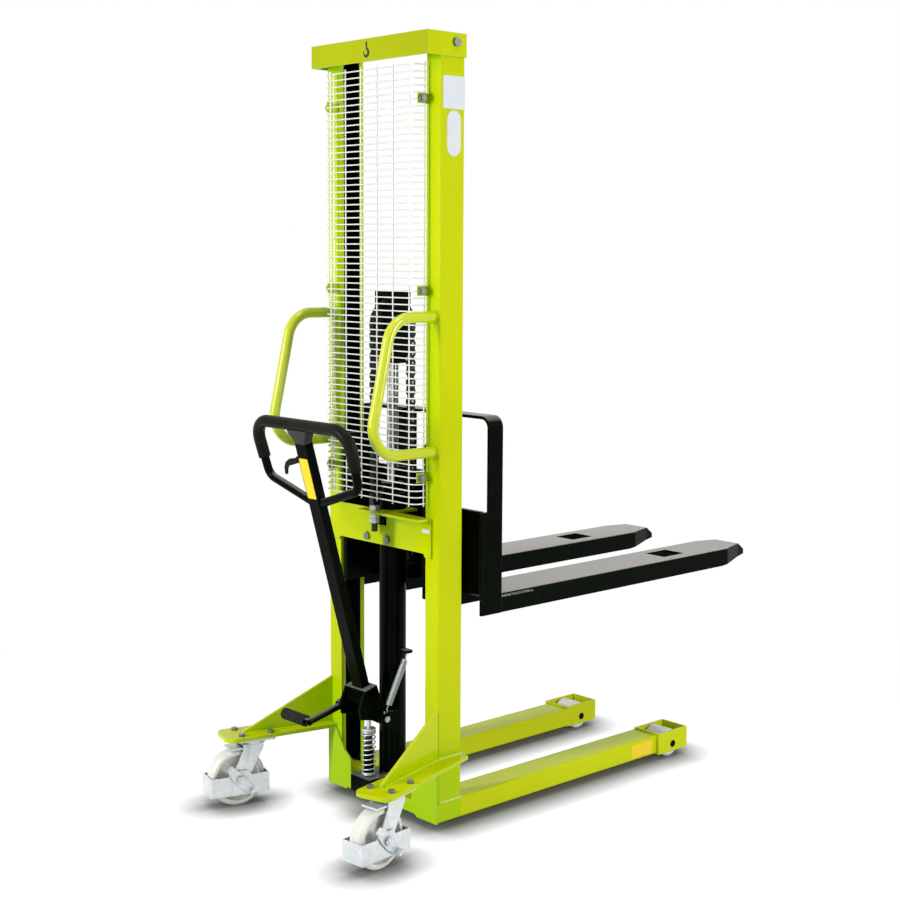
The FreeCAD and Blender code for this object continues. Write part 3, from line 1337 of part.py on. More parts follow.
def build_casters():
    """Swivel casters: forked housing with its axle, foot guard band, wheel and brake lever."""
    crown_low = "(bracket_top - bracket_wall - caster_plate_wall - caster_gap - crown_rise)"
    inner = "(wheel_width / 2 + fork_leg_gap)"
    outer = f"({inner} + fork_leg_wall)"
    boss, neck = "wheel_radius - leg_boss", f"{crown_low} - leg_neck"
    shape = [("leg_front", crown_low), ("leg_front", neck), ("-trail + leg_boss", boss),
             ("-trail", "wheel_radius - leg_foot"), ("-trail - leg_boss", boss),
             ("-trail - leg_boss", "wheel_radius + leg_boss / 2"), ("-leg_back", neck),
             ("-leg_back", crown_low)]
    reach = f"({outer} + guard_band_gap + guard_band_wall + brake_gap + brake_wall + nut_gap)"
    hub, half, web = "caster_axle_radius + running_gap", "wheel_width / 2", "wheel_web / 2"
    rim, side_face = "wheel_radius - wheel_rim", f"{half} - rim_inset"
    tread = f"{side_face} - wheel_round"
    right_half = [(hub, half), ("wheel_hub", half), ("wheel_hub + web_slope", web),
                  (f"{rim} - web_slope", web), (rim, side_face), ("wheel_radius - wheel_round", side_face),
                  ("wheel_radius", tread)]
    profile = right_half + [(radius, f"-({across})") for radius, across in reversed(right_half)]
    for side, sign in SIDES:
        def on_swivel(piece):
            return place(piece, "mast_rear - swivel_back", f"{sign} * swivel_side", "0", Z_AXIS,
                         f"steer_{side}")
        crown = bar("caster_crown", "crown_radius", "crown_rise", "0", "0", crown_low)
        bridge = box("caster_bridge", "-leg_back", f"-{outer}", f"{crown_low} - fork_leg_wall",
                     "leg_back + leg_front", f"2 * {outer}", "fork_leg_wall")
        legs = [place(plate("caster_leg", "XZ_Plane", shape, "fork_leg_wall", reverse=True), "0", low)
                for low in (inner, f"-{outer}")]
        axle = bar("caster_axle", "caster_axle_radius", f"2 * ({reach} + nut_rise)", "-trail",
                   f"-{reach} - nut_rise", "wheel_radius", Y_AXIS)
        nuts = [hexagon("caster_nut", "nut_radius", "nut_rise - nut_inset", "-trail", f"{way} * {reach}",
                        "wheel_radius", Y_AXIS * way) for way in (1, -1)]
        pad_block = box("caster_brake_pad", "-trail - pad_back", f"-{inner}", "2 * wheel_radius + shoe_gap",
                        "trail + pad_back - leg_back + pad_root", f"2 * {inner}", "shoe_rise")
        housing = join(f"caster_fork_{side}", [crown, bridge, axle, pad_block] + legs + nuts)
        keep(f"caster_fork_{side}", on_swivel(housing))
        wheel = place(turned(f"caster_wheel_turned_{side}", profile), "-trail", "0", "wheel_radius", X_AXIS,
                      "90")
        keep(f"caster_wheel_{side}", on_swivel(group(f"caster_wheel_{side}", [wheel])))
        keep(f"caster_guard_{side}", on_swivel(caster_guard(f"({outer} + guard_band_gap)")))
        start = f"({outer} + guard_band_gap + guard_band_wall + brake_gap)"
        keep(f"caster_brake_{side}", on_swivel(caster_brake(start)))


def caster_guard(gap):
    """Band of sheet round the wheel that keeps feet away from it, raised at the axle."""
    wall = "guard_band_wall"
    half = f"({gap} + {wall})"
    back, length = "-trail - guard_band_back", "guard_band_back + guard_band_front"
    low, high = "guard_band_low", "(guard_band_high - guard_band_low)"
    outside = box("guard_band_outside", back, f"-{half}", low, length, f"2 * {half}", high)
    inside = box("guard_band_inside", f"{back} + {wall}", f"-{gap}", f"{low} - cut_over",
                 f"{length} - 2 * {wall}", f"2 * {gap}", f"{high} + 2 * cut_over")
    foot, top = "guard_band_high - guard_band_overlap", "guard_band_ear_top"
    wide = "guard_band_ear + guard_band_ear_slope"
    shape = [(f"-trail - ({wide})", foot), (f"-trail + {wide}", foot), ("-trail + guard_band_ear", top),
             ("-trail - guard_band_ear", top)]
    ears = [place(plate("guard_band_ear_plate", "XZ_Plane", shape, wall, reverse=True), "0", side)
            for side in (gap, f"-{half}")]
    bore = bar("guard_band_bore", "caster_axle_radius + running_gap", f"2 * ({half} + cut_over)", "-trail",
               f"-{half} - cut_over", "wheel_radius", Y_AXIS)
    return cut("caster_guard", join("guard_band_solid", [cut("guard_band", outside, inside)] + ears), bore)


def caster_brake(start):
    """Foot lever on the axle outside the guard, with a tab bent outward at each end."""
    arm, half, end = "brake_arm", "brake_half", "(brake_half - brake_taper)"
    belly = f"-{half} - brake_belly"
    shape = [(f"-{arm}", f"-{end}"), (f"-{half}", belly), (half, belly), (arm, f"-{end}"), (arm, end),
             (half, half), (f"-{half}", half), (f"-{arm}", end)]
    lever = plate("brake_lever", "XZ_Plane", shape, "brake_wall",
                  [("0", "0", "caster_axle_radius + running_gap")])
    tabs = [box("brake_tab_plate", x, "-brake_wall - brake_tab", f"-{end}", "brake_wall",
                "brake_tab + cut_over", f"2 * {end}")
            for x in (f"-{arm}", f"{arm} - brake_wall")]
    solid = join("brake_solid", [lever] + tabs)
    place(solid, "-trail", f"-{start}", "wheel_radius", Y_AXIS, "brake_turn")
    return group("caster_brake", [solid])


for build in (build_posts, build_cap, build_crossbeam, build_anchor, build_base, build_legs, build_shoes,
              build_brackets, build_bolts, build_handles, build_guard, build_clips, build_cylinder,
              build_head, build_chain_runs, build_pump, build_springs, build_tiller, build_trigger,
              build_rocker, build_pedal, build_carriage, build_guide_rollers, build_forks, build_backrest,
              build_casters):
    build()
doc.recompute()

for item in doc.Objects:
    if "Invalid" in item.State or "Error" in item.State:
        raise RuntimeError(f"{item.Label}: {item.State}")
for piece in pieces:
    if piece.Shape.isNull() or not piece.Shape.isValid():
        raise RuntimeError(f"{piece.Label} has no valid shape")
    piece.Shape.exportStep(f"parts/{piece.Label}.step")
print(len(pieces), "sub-parts written")
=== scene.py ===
import json
import math

import bmesh
import bpy
import numpy as np
from bpy.props import FloatProperty, FloatVectorProperty, IntProperty, PointerProperty
from mathutils import Matrix, Vector


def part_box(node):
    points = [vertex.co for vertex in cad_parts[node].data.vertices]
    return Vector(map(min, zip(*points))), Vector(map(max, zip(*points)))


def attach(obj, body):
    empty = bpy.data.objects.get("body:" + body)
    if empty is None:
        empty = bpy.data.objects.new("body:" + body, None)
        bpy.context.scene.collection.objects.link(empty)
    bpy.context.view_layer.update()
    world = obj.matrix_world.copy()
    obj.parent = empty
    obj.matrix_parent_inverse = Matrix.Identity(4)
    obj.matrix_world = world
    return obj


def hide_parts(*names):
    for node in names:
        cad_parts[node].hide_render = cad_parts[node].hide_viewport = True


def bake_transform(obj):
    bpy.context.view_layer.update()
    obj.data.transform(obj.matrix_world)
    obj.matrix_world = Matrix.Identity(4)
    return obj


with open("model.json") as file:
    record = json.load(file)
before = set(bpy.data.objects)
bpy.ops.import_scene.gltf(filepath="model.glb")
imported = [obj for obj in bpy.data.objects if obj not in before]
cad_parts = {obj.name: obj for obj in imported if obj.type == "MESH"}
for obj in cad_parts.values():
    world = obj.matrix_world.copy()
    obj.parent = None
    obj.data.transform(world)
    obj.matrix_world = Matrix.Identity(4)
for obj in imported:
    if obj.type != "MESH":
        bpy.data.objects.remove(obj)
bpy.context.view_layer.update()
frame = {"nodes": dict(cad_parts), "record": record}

bl_info = {
    "name": "Hand pallet stacker",
    "version": (1, 0, 0),
    "blender": (4, 5, 0),
    "location": "3D View > Sidebar > Stacker",
    "description": "Finishes, wires, springs, chain and stage of a hand pallet stacker",
    "category": "Object",
}

# Millimetres and radians in the frame of the solids: X forward along the forks, Y to the left, Z up.
MAST_REAR = -442.0
POST_FRONT = -363.0
MAST_HALF = 220.0
POST_LIP = 14.0
POST_WEB = 8.0
LEG_TOP = 75.0
HANDLE_SIDE = 198.0
HANDLE_HEIGHTS = (970.0, 1302.0)
HANDLE_RING = 14.2
TILLER_BASE = np.array([-486.0, 0.0, 252.0])
TILLER_LEAN = math.radians(-15.5)
SPRING_FOOT = np.array([-473.5, -53.0, 283.4])
SPRING_HEAD = np.array([-400.0, -53.0, 425.6])
SWIVEL_X = -654.0
STEER = {"left": math.radians(-15.0), "right": math.radians(6.0)}
SPLAY = math.radians(16.0)
BRACKET_TOP = 190.0
GUSSET_OUTER = 219.0
GUSSET_WALL = 8.0
PULLEY = np.array([-406.0, 0.0, 1275.0])
PULLEY_PITCH = 61.0

# Sign of Y at the left and right, millimetres in a metre, points round a ring of weld.
SIDES = (1.0, -1.0)
PER_METRE = 1000.0
RING_POINTS = 28

# Heights in metres between which a plated piece is black instead.
ANCHOR_DARK = ((0.0, 0.77), (0.8165, 1.0))
PLUNGER_DARK = ((0.10, 0.2255),)

# Linear colours of the details in the finishes; a pair gives the two ends of a range.
# Painted shade: the darker green of the mast's corners and hollows.
PAINTED_SHADE_GREEN = (0.23, 0.58, 0.0, 1.0)
# Painted highlight: the pale lime of the painted edges.
EDGE_HIGHLIGHT_LIME = (0.90, 0.93, 0.40, 1.0)
HOLLOW_BLACK = (0.006, 0.007, 0.005, 1.0)
# Grey of dust, and a painted sheen, on black faces that look up.
DUST_AND_SHEEN = (0.40, 0.37, 0.36, 1.0)
# Worn enamel and a painted highlight on black edges.
WORN_AND_HIGHLIT_ENAMEL = (0.16, 0.16, 0.15, 1.0)
# Edges of plated parts: rubbed bright, also a painted highlight.
RUBBED_AND_HIGHLIT_ZINC = (0.9, 0.91, 0.92, 1.0)
# Painted shade in the creases of plated parts.
CREASE_SHADE = (0.10, 0.12, 0.13, 1.0)
BLACK_OXIDE = (0.025, 0.025, 0.024, 1.0)
OILED_STEEL = (0.010, 0.010, 0.009, 1.0), (0.035, 0.033, 0.030, 1.0)
RUBBED_STEEL = (0.14, 0.14, 0.14, 1.0)
PIN_END_GLINT = (0.30, 0.30, 0.29, 1.0)
RECESS_DIRT = (0.42, 0.41, 0.36, 1.0)
TREAD_DIRT = (0.52, 0.48, 0.46, 1.0)
PLASTIC = (0.004, 0.005, 0.003, 1.0), (0.010, 0.010, 0.007, 1.0)
RUBBER = (0.010, 0.010, 0.010, 1.0), (0.035, 0.034, 0.033, 1.0)
WORN_RUBBER = (0.07, 0.07, 0.068, 1.0)
# Painted reflection: the chrome and its dark streaks.
CHROME_REFLECTION_STREAKS = (0.78, 0.79, 0.80, 1.0), (0.10, 0.10, 0.095, 1.0)
# Pale spatter on welds, also a painted sparkle of highlights.
SPATTER_GLINT = (0.86, 0.87, 0.80, 1.0)
BLACK_WELD = (0.02, 0.02, 0.02)
WHITE_FILM = (0.70, 0.72, 0.80)
WHITE = (1.0, 1.0, 1.0, 1.0)
ROOM_LIGHT = (0.86, 1.0, 0.90, 1.0)
# Colour of the painted shadow on the floor.
SHADOW = (0.95, 0.92, 1.0, 1.0)

# The camera in metres and radians, its focal length and picture in pixels, its film in millimetres.
CAMERA_SPOT = (-2.9665, -3.0303, 1.45165)
CAMERA_YAW, CAMERA_PITCH, CAMERA_ROLL = 0.832, -0.125, 0.005
FOCAL_PIXELS, PICTURE_PIXELS, FILM_WIDTH = 1550.45, 900.0, 36.0


class StackerSizes(bpy.types.PropertyGroup):
    """Sizes of the pieces that are added to the solids."""

    wire: FloatProperty(name="Guard wire", description="Diameter of the guard's wires",
                        default=0.0035, min=0.002, max=0.006, unit="LENGTH")
    wire_bend: FloatProperty(name="Guard bend", description="Radius at the guard's upright corners",
                             default=0.022, min=0.002, max=0.03, unit="LENGTH")
    chain_pitch: FloatProperty(name="Chain pitch", description="Distance between the pins of the chain",
                               default=0.0254, min=0.012, max=0.04, unit="LENGTH")
    weld: FloatProperty(name="Weld bead", description="Radius of a weld bead",
                        default=0.0032, min=0.001, max=0.008, unit="LENGTH")
    edge: FloatProperty(name="Edge rounding", description="Radius at which painted edges catch the light",
                        default=0.0022, min=0.0, max=0.01, unit="LENGTH")
    coil_turns: IntProperty(name="Plunger spring turns", description="Open turns of the plunger spring",
                            default=8, min=4, max=14)


class StackerColours(bpy.types.PropertyGroup):
    """Colours of the finishes."""

    lime: FloatVectorProperty(name="Lime paint", description="Paint of the mast, legs and brackets",
                              subtype="COLOR", default=(0.58, 0.64, 0.0), min=0.0, max=1.0)
    black: FloatVectorProperty(name="Black paint", description="Paint of the forks, carriage and tiller",
                               subtype="COLOR", default=(0.0014, 0.0032, 0.0012), min=0.0, max=1.0)
    zinc: FloatVectorProperty(name="Zinc plating", description="Plated sheet of the casters and bolts",
                              subtype="COLOR", default=(0.68, 0.71, 0.74), min=0.0, max=1.0)
    nylon: FloatVectorProperty(name="Nylon", description="Wheels and load rollers",
                               subtype="COLOR", default=(0.82, 0.79, 0.775), min=0.0, max=1.0)
    wire: FloatVectorProperty(name="Guard wire", description="Coating of the wire guard",
                              subtype="COLOR", default=(0.53, 0.49, 0.61), min=0.0, max=1.0)
    label: FloatVectorProperty(name="Blank label", description="Bare labels on the leg and the tiller",
                               subtype="COLOR", default=(0.92, 0.64, 0.0), min=0.0, max=1.0)


class Wire:
    """Output of a shader node: arithmetic on it adds Math nodes, and make() adds any other node."""

    def __init__(self, tree, socket=None):
        self.tree = tree
        self.socket = socket

    def make(self, kind, settings=None, sockets=None, out=0):
        """Add a node: its settings first, then values or wires for its sockets by name or number."""
        node = self.tree.nodes.new(kind)
        for name, value in (settings or {}).items():
            setattr(node, name, value)
        inputs = [s for s in node.inputs if s.enabled]
        for name, value in (sockets or {}).items():
            socket = inputs[name] if isinstance(name, int) else next(s for s in inputs if s.name == name)
            if isinstance(value, Wire):
                self.tree.links.new(value.socket, socket)
            else:
                socket.default_value = value
        outputs = [s for s in node.outputs if s.enabled]
        pick = outputs[out] if isinstance(out, int) else next(s for s in outputs if s.name == out)
        return Wire(self.tree, pick)

    def maths(self, operation, *values):
        """Math node of the operation on wires and numbers."""
        return self.make("ShaderNodeMath", {"operation": operation}, dict(enumerate(values)))

    def __add__(self, other):
        return self.maths("ADD", self, other)

    __radd__ = __add__

    def __sub__(self, other):
        return self.maths("SUBTRACT", self, other)

    def __rsub__(self, other):
        return self.maths("SUBTRACT", other, self)

    def __mul__(self, other):
        return self.maths("MULTIPLY", self, other)

    __rmul__ = __mul__

    def between(self, low, high, first=0.0, last=1.0):
        """Smooth step from first to last while this value goes from low to high."""
        return self.make("ShaderNodeMapRange", {"interpolation_type": "SMOOTHSTEP"},
                         {"Value": self, "From Min": low, "From Max": high, "To Min": first, "To Max": last})

    def mix(self, first, second):
        """Colour that goes from first to second with this value."""
        return self.make("ShaderNodeMix", {"data_type": "RGBA"}, {"Factor": self, "A": first, "B": second})


def opaque(colour, factor=1.0):
    """Colour with its brightness changed and a full alpha."""
    return tuple(min(1.0, c * factor) for c in colour) + (1.0,)


class Finish:
    """Material under way: coordinates, noises and the sockets of its Principled shader."""

    def __init__(self, name):
        self.material = bpy.data.materials.new(name)
        self.material.use_nodes = True
        self.material.node_tree.nodes.clear()
        self.root = Wire(self.material.node_tree)
        self.place = self.root.make("ShaderNodeTexCoord", out="Object")

    def axes(self, place=None):
        """The three coordinates as values in metres."""
        return [self.root.make("ShaderNodeSeparateXYZ", None, {0: place or self.place}, i) for i in range(3)]

    def moved(self, location, rotation=(0.0, 0.0, 0.0), scale=(1.0, 1.0, 1.0)):
        """Coordinates as seen from a point, turned and stretched."""
        return self.root.make("ShaderNodeMapping", {"vector_type": "TEXTURE"},
                              {"Vector": self.place, "Location": location, "Rotation": rotation,
                               "Scale": scale})

    def noise(self, scale, detail=2.0, place=None, rough=0.5):
        """Cloudy value from nothing to one, with scale blobs in a metre."""
        return self.root.make("ShaderNodeTexNoise", None,
                              {"Vector": place or self.place, "Scale": scale, "Detail": detail,
                               "Roughness": rough})

    def cells(self, scale, out="Color"):
        """Grains of even colour, with scale grains in a metre."""
        return self.root.make("ShaderNodeTexVoronoi", None, {"Vector": self.place, "Scale": scale}, out)

    def rounded(self, radius):
        """Normal that runs round the edges at a radius."""
        return self.root.make("ShaderNodeBevel", {"samples": 4}, {"Radius": radius})

    def flat_normal(self):
        """Normal of the face itself."""
        return self.root.make("ShaderNodeNewGeometry", out="Normal")

    def edges(self, round_normal):
        """Mask of the edges: where the rounded normal leaves the flat one."""
        gain = 6.0
        flat = self.flat_normal()
        turn = self.root.make("ShaderNodeVectorMath", {"operation": "DOT_PRODUCT"},
                              {0: round_normal, 1: flat}, "Value")
        return ((1.0 - turn) * gain).between(0.15, 1.0)

    def upward(self):
        """Mask of the faces that look up."""
        return self.axes(self.flat_normal())[2].between(0.5, 0.95)

    def open_air(self, distance, samples=6):
        """How much of the sky a point sees within a distance: low in corners and hollows."""
        return self.root.make("ShaderNodeAmbientOcclusion", {"samples": samples}, {"Distance": distance},
                              "AO")

    def relief(self, height, strength, distance, normal=None):
        """Normal that leans with the slope of a height, on top of another normal."""
        sockets = {"Height": height, "Strength": strength, "Distance": distance}
        if normal:
            sockets["Normal"] = normal
        return self.root.make("ShaderNodeBump", None, sockets)

    def closed(self, shader):
        """Close the material with a shader."""
        out = self.root.tree.nodes.new("ShaderNodeOutputMaterial")
        self.root.tree.links.new(shader.socket, out.inputs["Surface"])
        return self.material

    def done(self, **sockets):
        """Close the material with its Principled shader; underscores in the names stand for spaces."""
        named = {name.replace("_", " "): value for name, value in sockets.items()}
        return self.closed(self.root.make("ShaderNodeBsdfPrincipled", None, named))


def lime_paint(colours, sizes, name="lime_paint", inside=False, rear=0.0, gloss=0.09):
    """Glossy powder coat: orange peel, a slow drift of tone, paler edges that are a painted highlight,
    and a painted green shade in the mast's corners. Inside darkens the post's channel, rear darkens
    the faces that look backward as painted shade, and gloss is the reflection."""
    f = Finish(name)
    drift = f.noise(2.3, 3.0)
    speck = f.noise(420.0, 2.0)
    bevel = f.rounded(sizes.edge)
    base = drift.between(0.35, 0.7).mix(opaque(colours.lime, 0.95), opaque(colours.lime, 1.05))
    mast_front, soft = POST_FRONT / PER_METRE, 0.004
    mast = f.axes()[0].between(mast_front - soft, mast_front + soft, 1.0, 0.0)
    # Painted shade: away from the faces that look up, the mast's paint turns darker green where ambient
    # occlusion finds a corner.
    corner = mast * (1.0 - f.upward()) * f.open_air(0.45).between(0.35, 0.9, 0.65, 0.0)
    base = corner.mix(base, PAINTED_SHADE_GREEN)
    if rear:
        # Painted shade: the faces that look backward are darkened by the rear share.
        rear_shade = f.axes(f.flat_normal())[0].between(-0.95, -0.6, rear, 0.0)
        base = rear_shade.mix(base, opaque(colours.lime, 0.3))
    # Painted highlight: the rounded edges turn pale lime.
    base = (f.edges(bevel) * 0.5).mix(base, EDGE_HIGHLIGHT_LIME)
    base = (speck.between(0.66, 0.74) * 0.25).mix(base, opaque(colours.lime, 0.8))
    rough = 0.09 + 0.07 * f.noise(30.0, 3.0)
    if inside:
        x, y, _ = f.axes()
        side = f.root.maths("ABSOLUTE", y)
        back, front, web = MAST_REAR + POST_LIP, POST_FRONT - POST_LIP, MAST_HALF - POST_WEB
        hollow = (x.between((back - 1.0) / PER_METRE, back / PER_METRE)
                  * x.between(front / PER_METRE, (front + 1.0) / PER_METRE, 1.0, 0.0)
                  * side.between(web / PER_METRE, (web + 1.0) / PER_METRE, 1.0, 0.0))
        base = hollow.mix(base, HOLLOW_BLACK)
        rough = rough + 0.15 * hollow
    peel = f.noise(520.0, 2.0) + 0.5 * f.noise(170.0, 2.0)
    return f.done(Base_Color=base, Roughness=rough, Specular_IOR_Level=gloss,
                  Normal=f.relief(peel, 0.02, 0.0006, bevel))


def black_paint(colours, sizes, name="black_paint", dust_and_sheen=0.42):
    """Black enamel: soft gloss with smears, fine peel and thin bright edges, worn and a painted highlight.
    The last argument is how much grey lies on the faces that look up: dust, and a painted sheen that
    stands for their reflection."""
    f = Finish(name)
    bevel = f.rounded(sizes.edge)
    smear = f.noise(14.0, 4.0, f.moved((0.0, 0.0, 0.0), scale=(6.0, 1.0, 1.0)))
    dust = f.noise(60.0, 5.0)
    base = smear.between(0.3, 0.75).mix(opaque(colours.black, 0.6), opaque(colours.black, 1.3))
    # Dust and a painted sheen: faces that look up turn grey, which stands also for their reflection.
    film = dust.between(0.2, 0.7, dust_and_sheen - 0.05, dust_and_sheen + 0.05)
    base = (f.upward() * film).mix(base, DUST_AND_SHEEN)
    # Worn edges and a painted highlight: the rounded edges turn grey.
    base = (f.edges(bevel) * 0.16).mix(base, WORN_AND_HIGHLIT_ENAMEL)
    rough = 0.12 + 0.12 * smear + 0.06 * dust
    peel = f.noise(420.0, 2.0)
    return f.done(Base_Color=base, Roughness=rough, Specular_IOR_Level=0.03,
                  Normal=f.relief(peel, 0.06, 0.0006, bevel))


def zinc_steel(colours, name="zinc_steel", shade=1.0, dark=()):
    """Bright zinc plating: blue-grey with crystals; pale smudges and dark runs, also painted reflections;
    painted shade in the creases; edges rubbed bright, also a painted highlight.
    Between the heights of each pair in dark it is black-oxide steel instead."""
    f = Finish(name)
    bevel = f.rounded(0.0009)
    grain = f.root.make("ShaderNodeRGBToBW", None, {0: f.cells(130.0)})
    cloud = f.noise(28.0, 4.0, rough=0.6)
    run = f.noise(55.0, 3.0, f.moved((0.0, 0.0, 0.0), scale=(1.0, 1.0, 9.0)))
    base = grain.mix(opaque(colours.zinc, 0.92 * shade), opaque(colours.zinc, 1.08 * shade))
    # Pale smudges and dark runs, also painted reflections of bright and dark surroundings.
    base = (cloud.between(0.4, 0.7) * 0.5).mix(base, opaque(colours.zinc, 1.28 * shade))
    base = (run.between(0.6, 0.76) * 0.45).mix(base, opaque(colours.zinc, 0.45 * shade))
    # Painted shade: the creases turn dark blue-grey where ambient occlusion finds them.
    crease_shade = f.open_air(0.018).between(0.35, 0.85, 0.65, 0.0)
    base = crease_shade.mix(base, CREASE_SHADE)
    # Edges rubbed bright, also a painted highlight.
    base = (f.edges(bevel) * 0.5).mix(base, RUBBED_AND_HIGHLIT_ZINC)
    height, soft = f.axes()[2], 0.0005
    for low, high in dark:
        soot = height.between(low - soft, low) * height.between(high, high + soft, 1.0, 0.0)
        base = soot.mix(base, BLACK_OXIDE)
    lines = f.noise(300.0, 2.0, f.moved((0.0, 0.0, 0.0), scale=(1.0, 1.0, 14.0)))
    return f.done(Base_Color=base, Roughness=0.22 + 0.2 * cloud, Metallic=0.62,
                  Normal=f.relief(lines, 0.05, 0.0005, bevel))


def chain_steel(name="chain_steel", pins=False):
    """Oiled steel: dark blue-brown with rubbed bright spots and wet gloss; the ends of the pins are bare
    and lighter, also a painted glint.
    """
    f = Finish(name)
    oil = f.noise(70.0, 4.0)
    rub = f.noise(160.0, 3.0)
    base = oil.between(0.3, 0.7).mix(*OILED_STEEL)
    base = (rub.between(0.58, 0.72) * 0.4).mix(base, RUBBED_STEEL)
    if pins:
        plates_end, pins_start = 0.0083, 0.0084
        side = f.root.maths("ABSOLUTE", f.axes()[1])
        # Bare pin ends, lighter also as a painted glint.
        base = side.between(plates_end, pins_start).mix(base, PIN_END_GLINT)
    return f.done(Base_Color=base, Roughness=0.25 + 0.3 * oil, Metallic=0.7, Specular_IOR_Level=0.2,
                  Normal=f.relief(rub, 0.12, 0.0005))


def nylon(colours, name, centre, turn):
    """Cast nylon turned on a lathe: rings round the axle, a worn tread and dirt in the recess."""
    f = Finish(name)
    ring_waves, hub, web_rim = 5200.0, (0.022, 0.03), (0.058, 0.062)
    tread_half, tread_rim = (0.014, 0.020), (0.038, 0.040)
    local = f.moved(tuple(c / PER_METRE for c in centre), (0.0, 0.0, turn))
    x, y, z = f.axes(local)
    radius = f.root.maths("SQRT", x * x + z * z)
    rings = f.root.maths("SINE", radius * ring_waves)
    cloud = f.noise(25.0, 4.0)
    dirt = f.noise(90.0, 5.0)
    base = cloud.between(0.3, 0.7).mix(opaque(colours.nylon, 0.94), opaque(colours.nylon, 1.04))
    recess = radius.between(*web_rim, 1.0, 0.0) * radius.between(*hub)
    base = (recess * dirt.between(0.3, 0.7) * 0.25).mix(base, RECESS_DIRT)
    tread = f.root.maths("ABSOLUTE", y).between(*tread_half, 1.0, 0.0) * radius.between(*tread_rim)
    base = (tread * dirt.between(0.45, 0.7) * 0.2).mix(base, TREAD_DIRT)
    rough = 0.34 + 0.2 * dirt
    return f.done(Base_Color=base, Roughness=rough, Subsurface_Weight=0.06, Subsurface_Scale=0.01,
                  Normal=f.relief(rings * 0.5 + dirt, 0.05, 0.0004, f.rounded(0.0015)))


def black_plastic():
    """Moulded plastic with a fine leather grain, rubbed shiny where hands hold it."""
    f = Finish("black_plastic")
    grain = f.cells(900.0, "Distance")
    rub = f.noise(12.0, 4.0)
    base = rub.between(0.35, 0.7).mix(*PLASTIC)
    return f.done(Base_Color=base, Roughness=0.26 + 0.2 * rub, Specular_IOR_Level=0.07,
                  Normal=f.relief(grain, 0.25, 0.0004, f.rounded(0.001)))


def black_rubber():
    """Dull rubber, greyer on its worn ridges."""
    f = Finish("black_rubber")
    bevel = f.rounded(0.001)
    dust = f.noise(120.0, 4.0)
    base = dust.between(0.4, 0.75).mix(*RUBBER)
    base = (f.edges(bevel) * 0.5).mix(base, WORN_RUBBER)
    return f.done(Base_Color=base, Roughness=0.55 + 0.25 * dust, Specular_IOR_Level=0.15,
                  Normal=f.relief(dust, 0.12, 0.0004, bevel))


def white_wire(colours):
    """Dipped white coating on wire: slightly lumpy, greyer in patches."""
    f = Finish("white_wire")
    patch = f.noise(18.0, 4.0)
    base = patch.between(0.35, 0.75).mix(opaque(colours.wire), opaque(colours.wire, 0.86))
    return f.done(Base_Color=base, Roughness=0.35 + 0.2 * patch,
                  Normal=f.relief(f.noise(260.0, 2.0), 0.15, 0.0005))


def rod_chrome():
    """Hard chrome whose colour runs down in dark streaks: a painted reflection."""
    f = Finish("rod_chrome")
    reflection_streak = f.noise(110.0, 3.0, f.moved((0.0, 0.0, 0.0), scale=(1.0, 1.0, 40.0)))
    # Painted reflection: dark streaks run along the rod in the chrome's colour.
    base = reflection_streak.between(0.42, 0.62).mix(*CHROME_REFLECTION_STREAKS)
    return f.done(Base_Color=base, Roughness=0.10 + 0.18 * reflection_streak, Metallic=1.0,
                  Normal=f.relief(reflection_streak, 0.03, 0.0003))


def blank_vinyl(name, colour):
    """Bare printed film: even colour with faint scuffs and a soft sheen."""
    f = Finish(name)
    scuff = f.noise(140.0, 4.0, f.moved((0.0, 0.0, 0.0), (0.4, 0.3, 0.8), (5.0, 1.0, 1.0)))
    base = scuff.between(0.5, 0.85).mix(opaque(colour), opaque(colour, 0.93))
    return f.done(Base_Color=base, Roughness=0.3 + 0.2 * scuff, Normal=f.relief(scuff, 0.04, 0.0003))


def weld_metal(name, paint, bright):
    """Painted weld: the paint's colour with pale spatter where the bead stands proud,
    also a painted sparkle of highlights.
    """
    f = Finish(name)
    spatter_glint = f.noise(420.0, 3.0)
    # Pale spatter, also a painted sparkle of highlights on the bead.
    base = (spatter_glint.between(0.50, 0.62) * bright).mix(opaque(paint), SPATTER_GLINT)
    return f.done(Base_Color=base, Roughness=0.25 + 0.2 * spatter_glint, Specular_IOR_Level=0.25,
                  Normal=f.relief(spatter_glint, 0.3, 0.001))


def node_box(node):
    """Lowest and highest corners of a CAD node in millimetres."""
    low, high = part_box(node)
    return np.array(low) * PER_METRE, np.array(high) * PER_METRE


def unit(vectors):
    """Vectors divided by their lengths."""
    return vectors / np.linalg.norm(vectors, axis=-1, keepdims=True)


def capped(grid):
    """Close both ends of a grid: a first and a last row at the middle of its end rows."""
    first = np.broadcast_to(grid[..., :1, :, :].mean(axis=-2, keepdims=True), grid[..., :1, :, :].shape)
    last = np.broadcast_to(grid[..., -1:, :, :].mean(axis=-2, keepdims=True), grid[..., -1:, :, :].shape)
    return np.concatenate([first, grid, last], axis=-3)


def circle(first, second, sides):
    """Points round a circle: the first direction times the cosine plus the second times the sine."""
    angle = np.linspace(0.0, 2.0 * np.pi, sides, endpoint=False)[:, None]
    return first[..., None, :] * np.cos(angle) + second[..., None, :] * np.sin(angle)


def tube(path, radius, sides=10, up=(0.0, 0.0, 1.0)):
    """Round wire: at each point of the path a circle of the radius, square to the path's heading."""
    path = np.asarray(path, float)
    heading = unit(np.gradient(path, axis=-2))
    across = unit(np.cross(heading, np.asarray(up, float)))
    ring = circle(across, np.cross(across, heading), sides)
    return capped(path[..., None, :] + np.asarray(radius, float)[..., None, None] * ring)


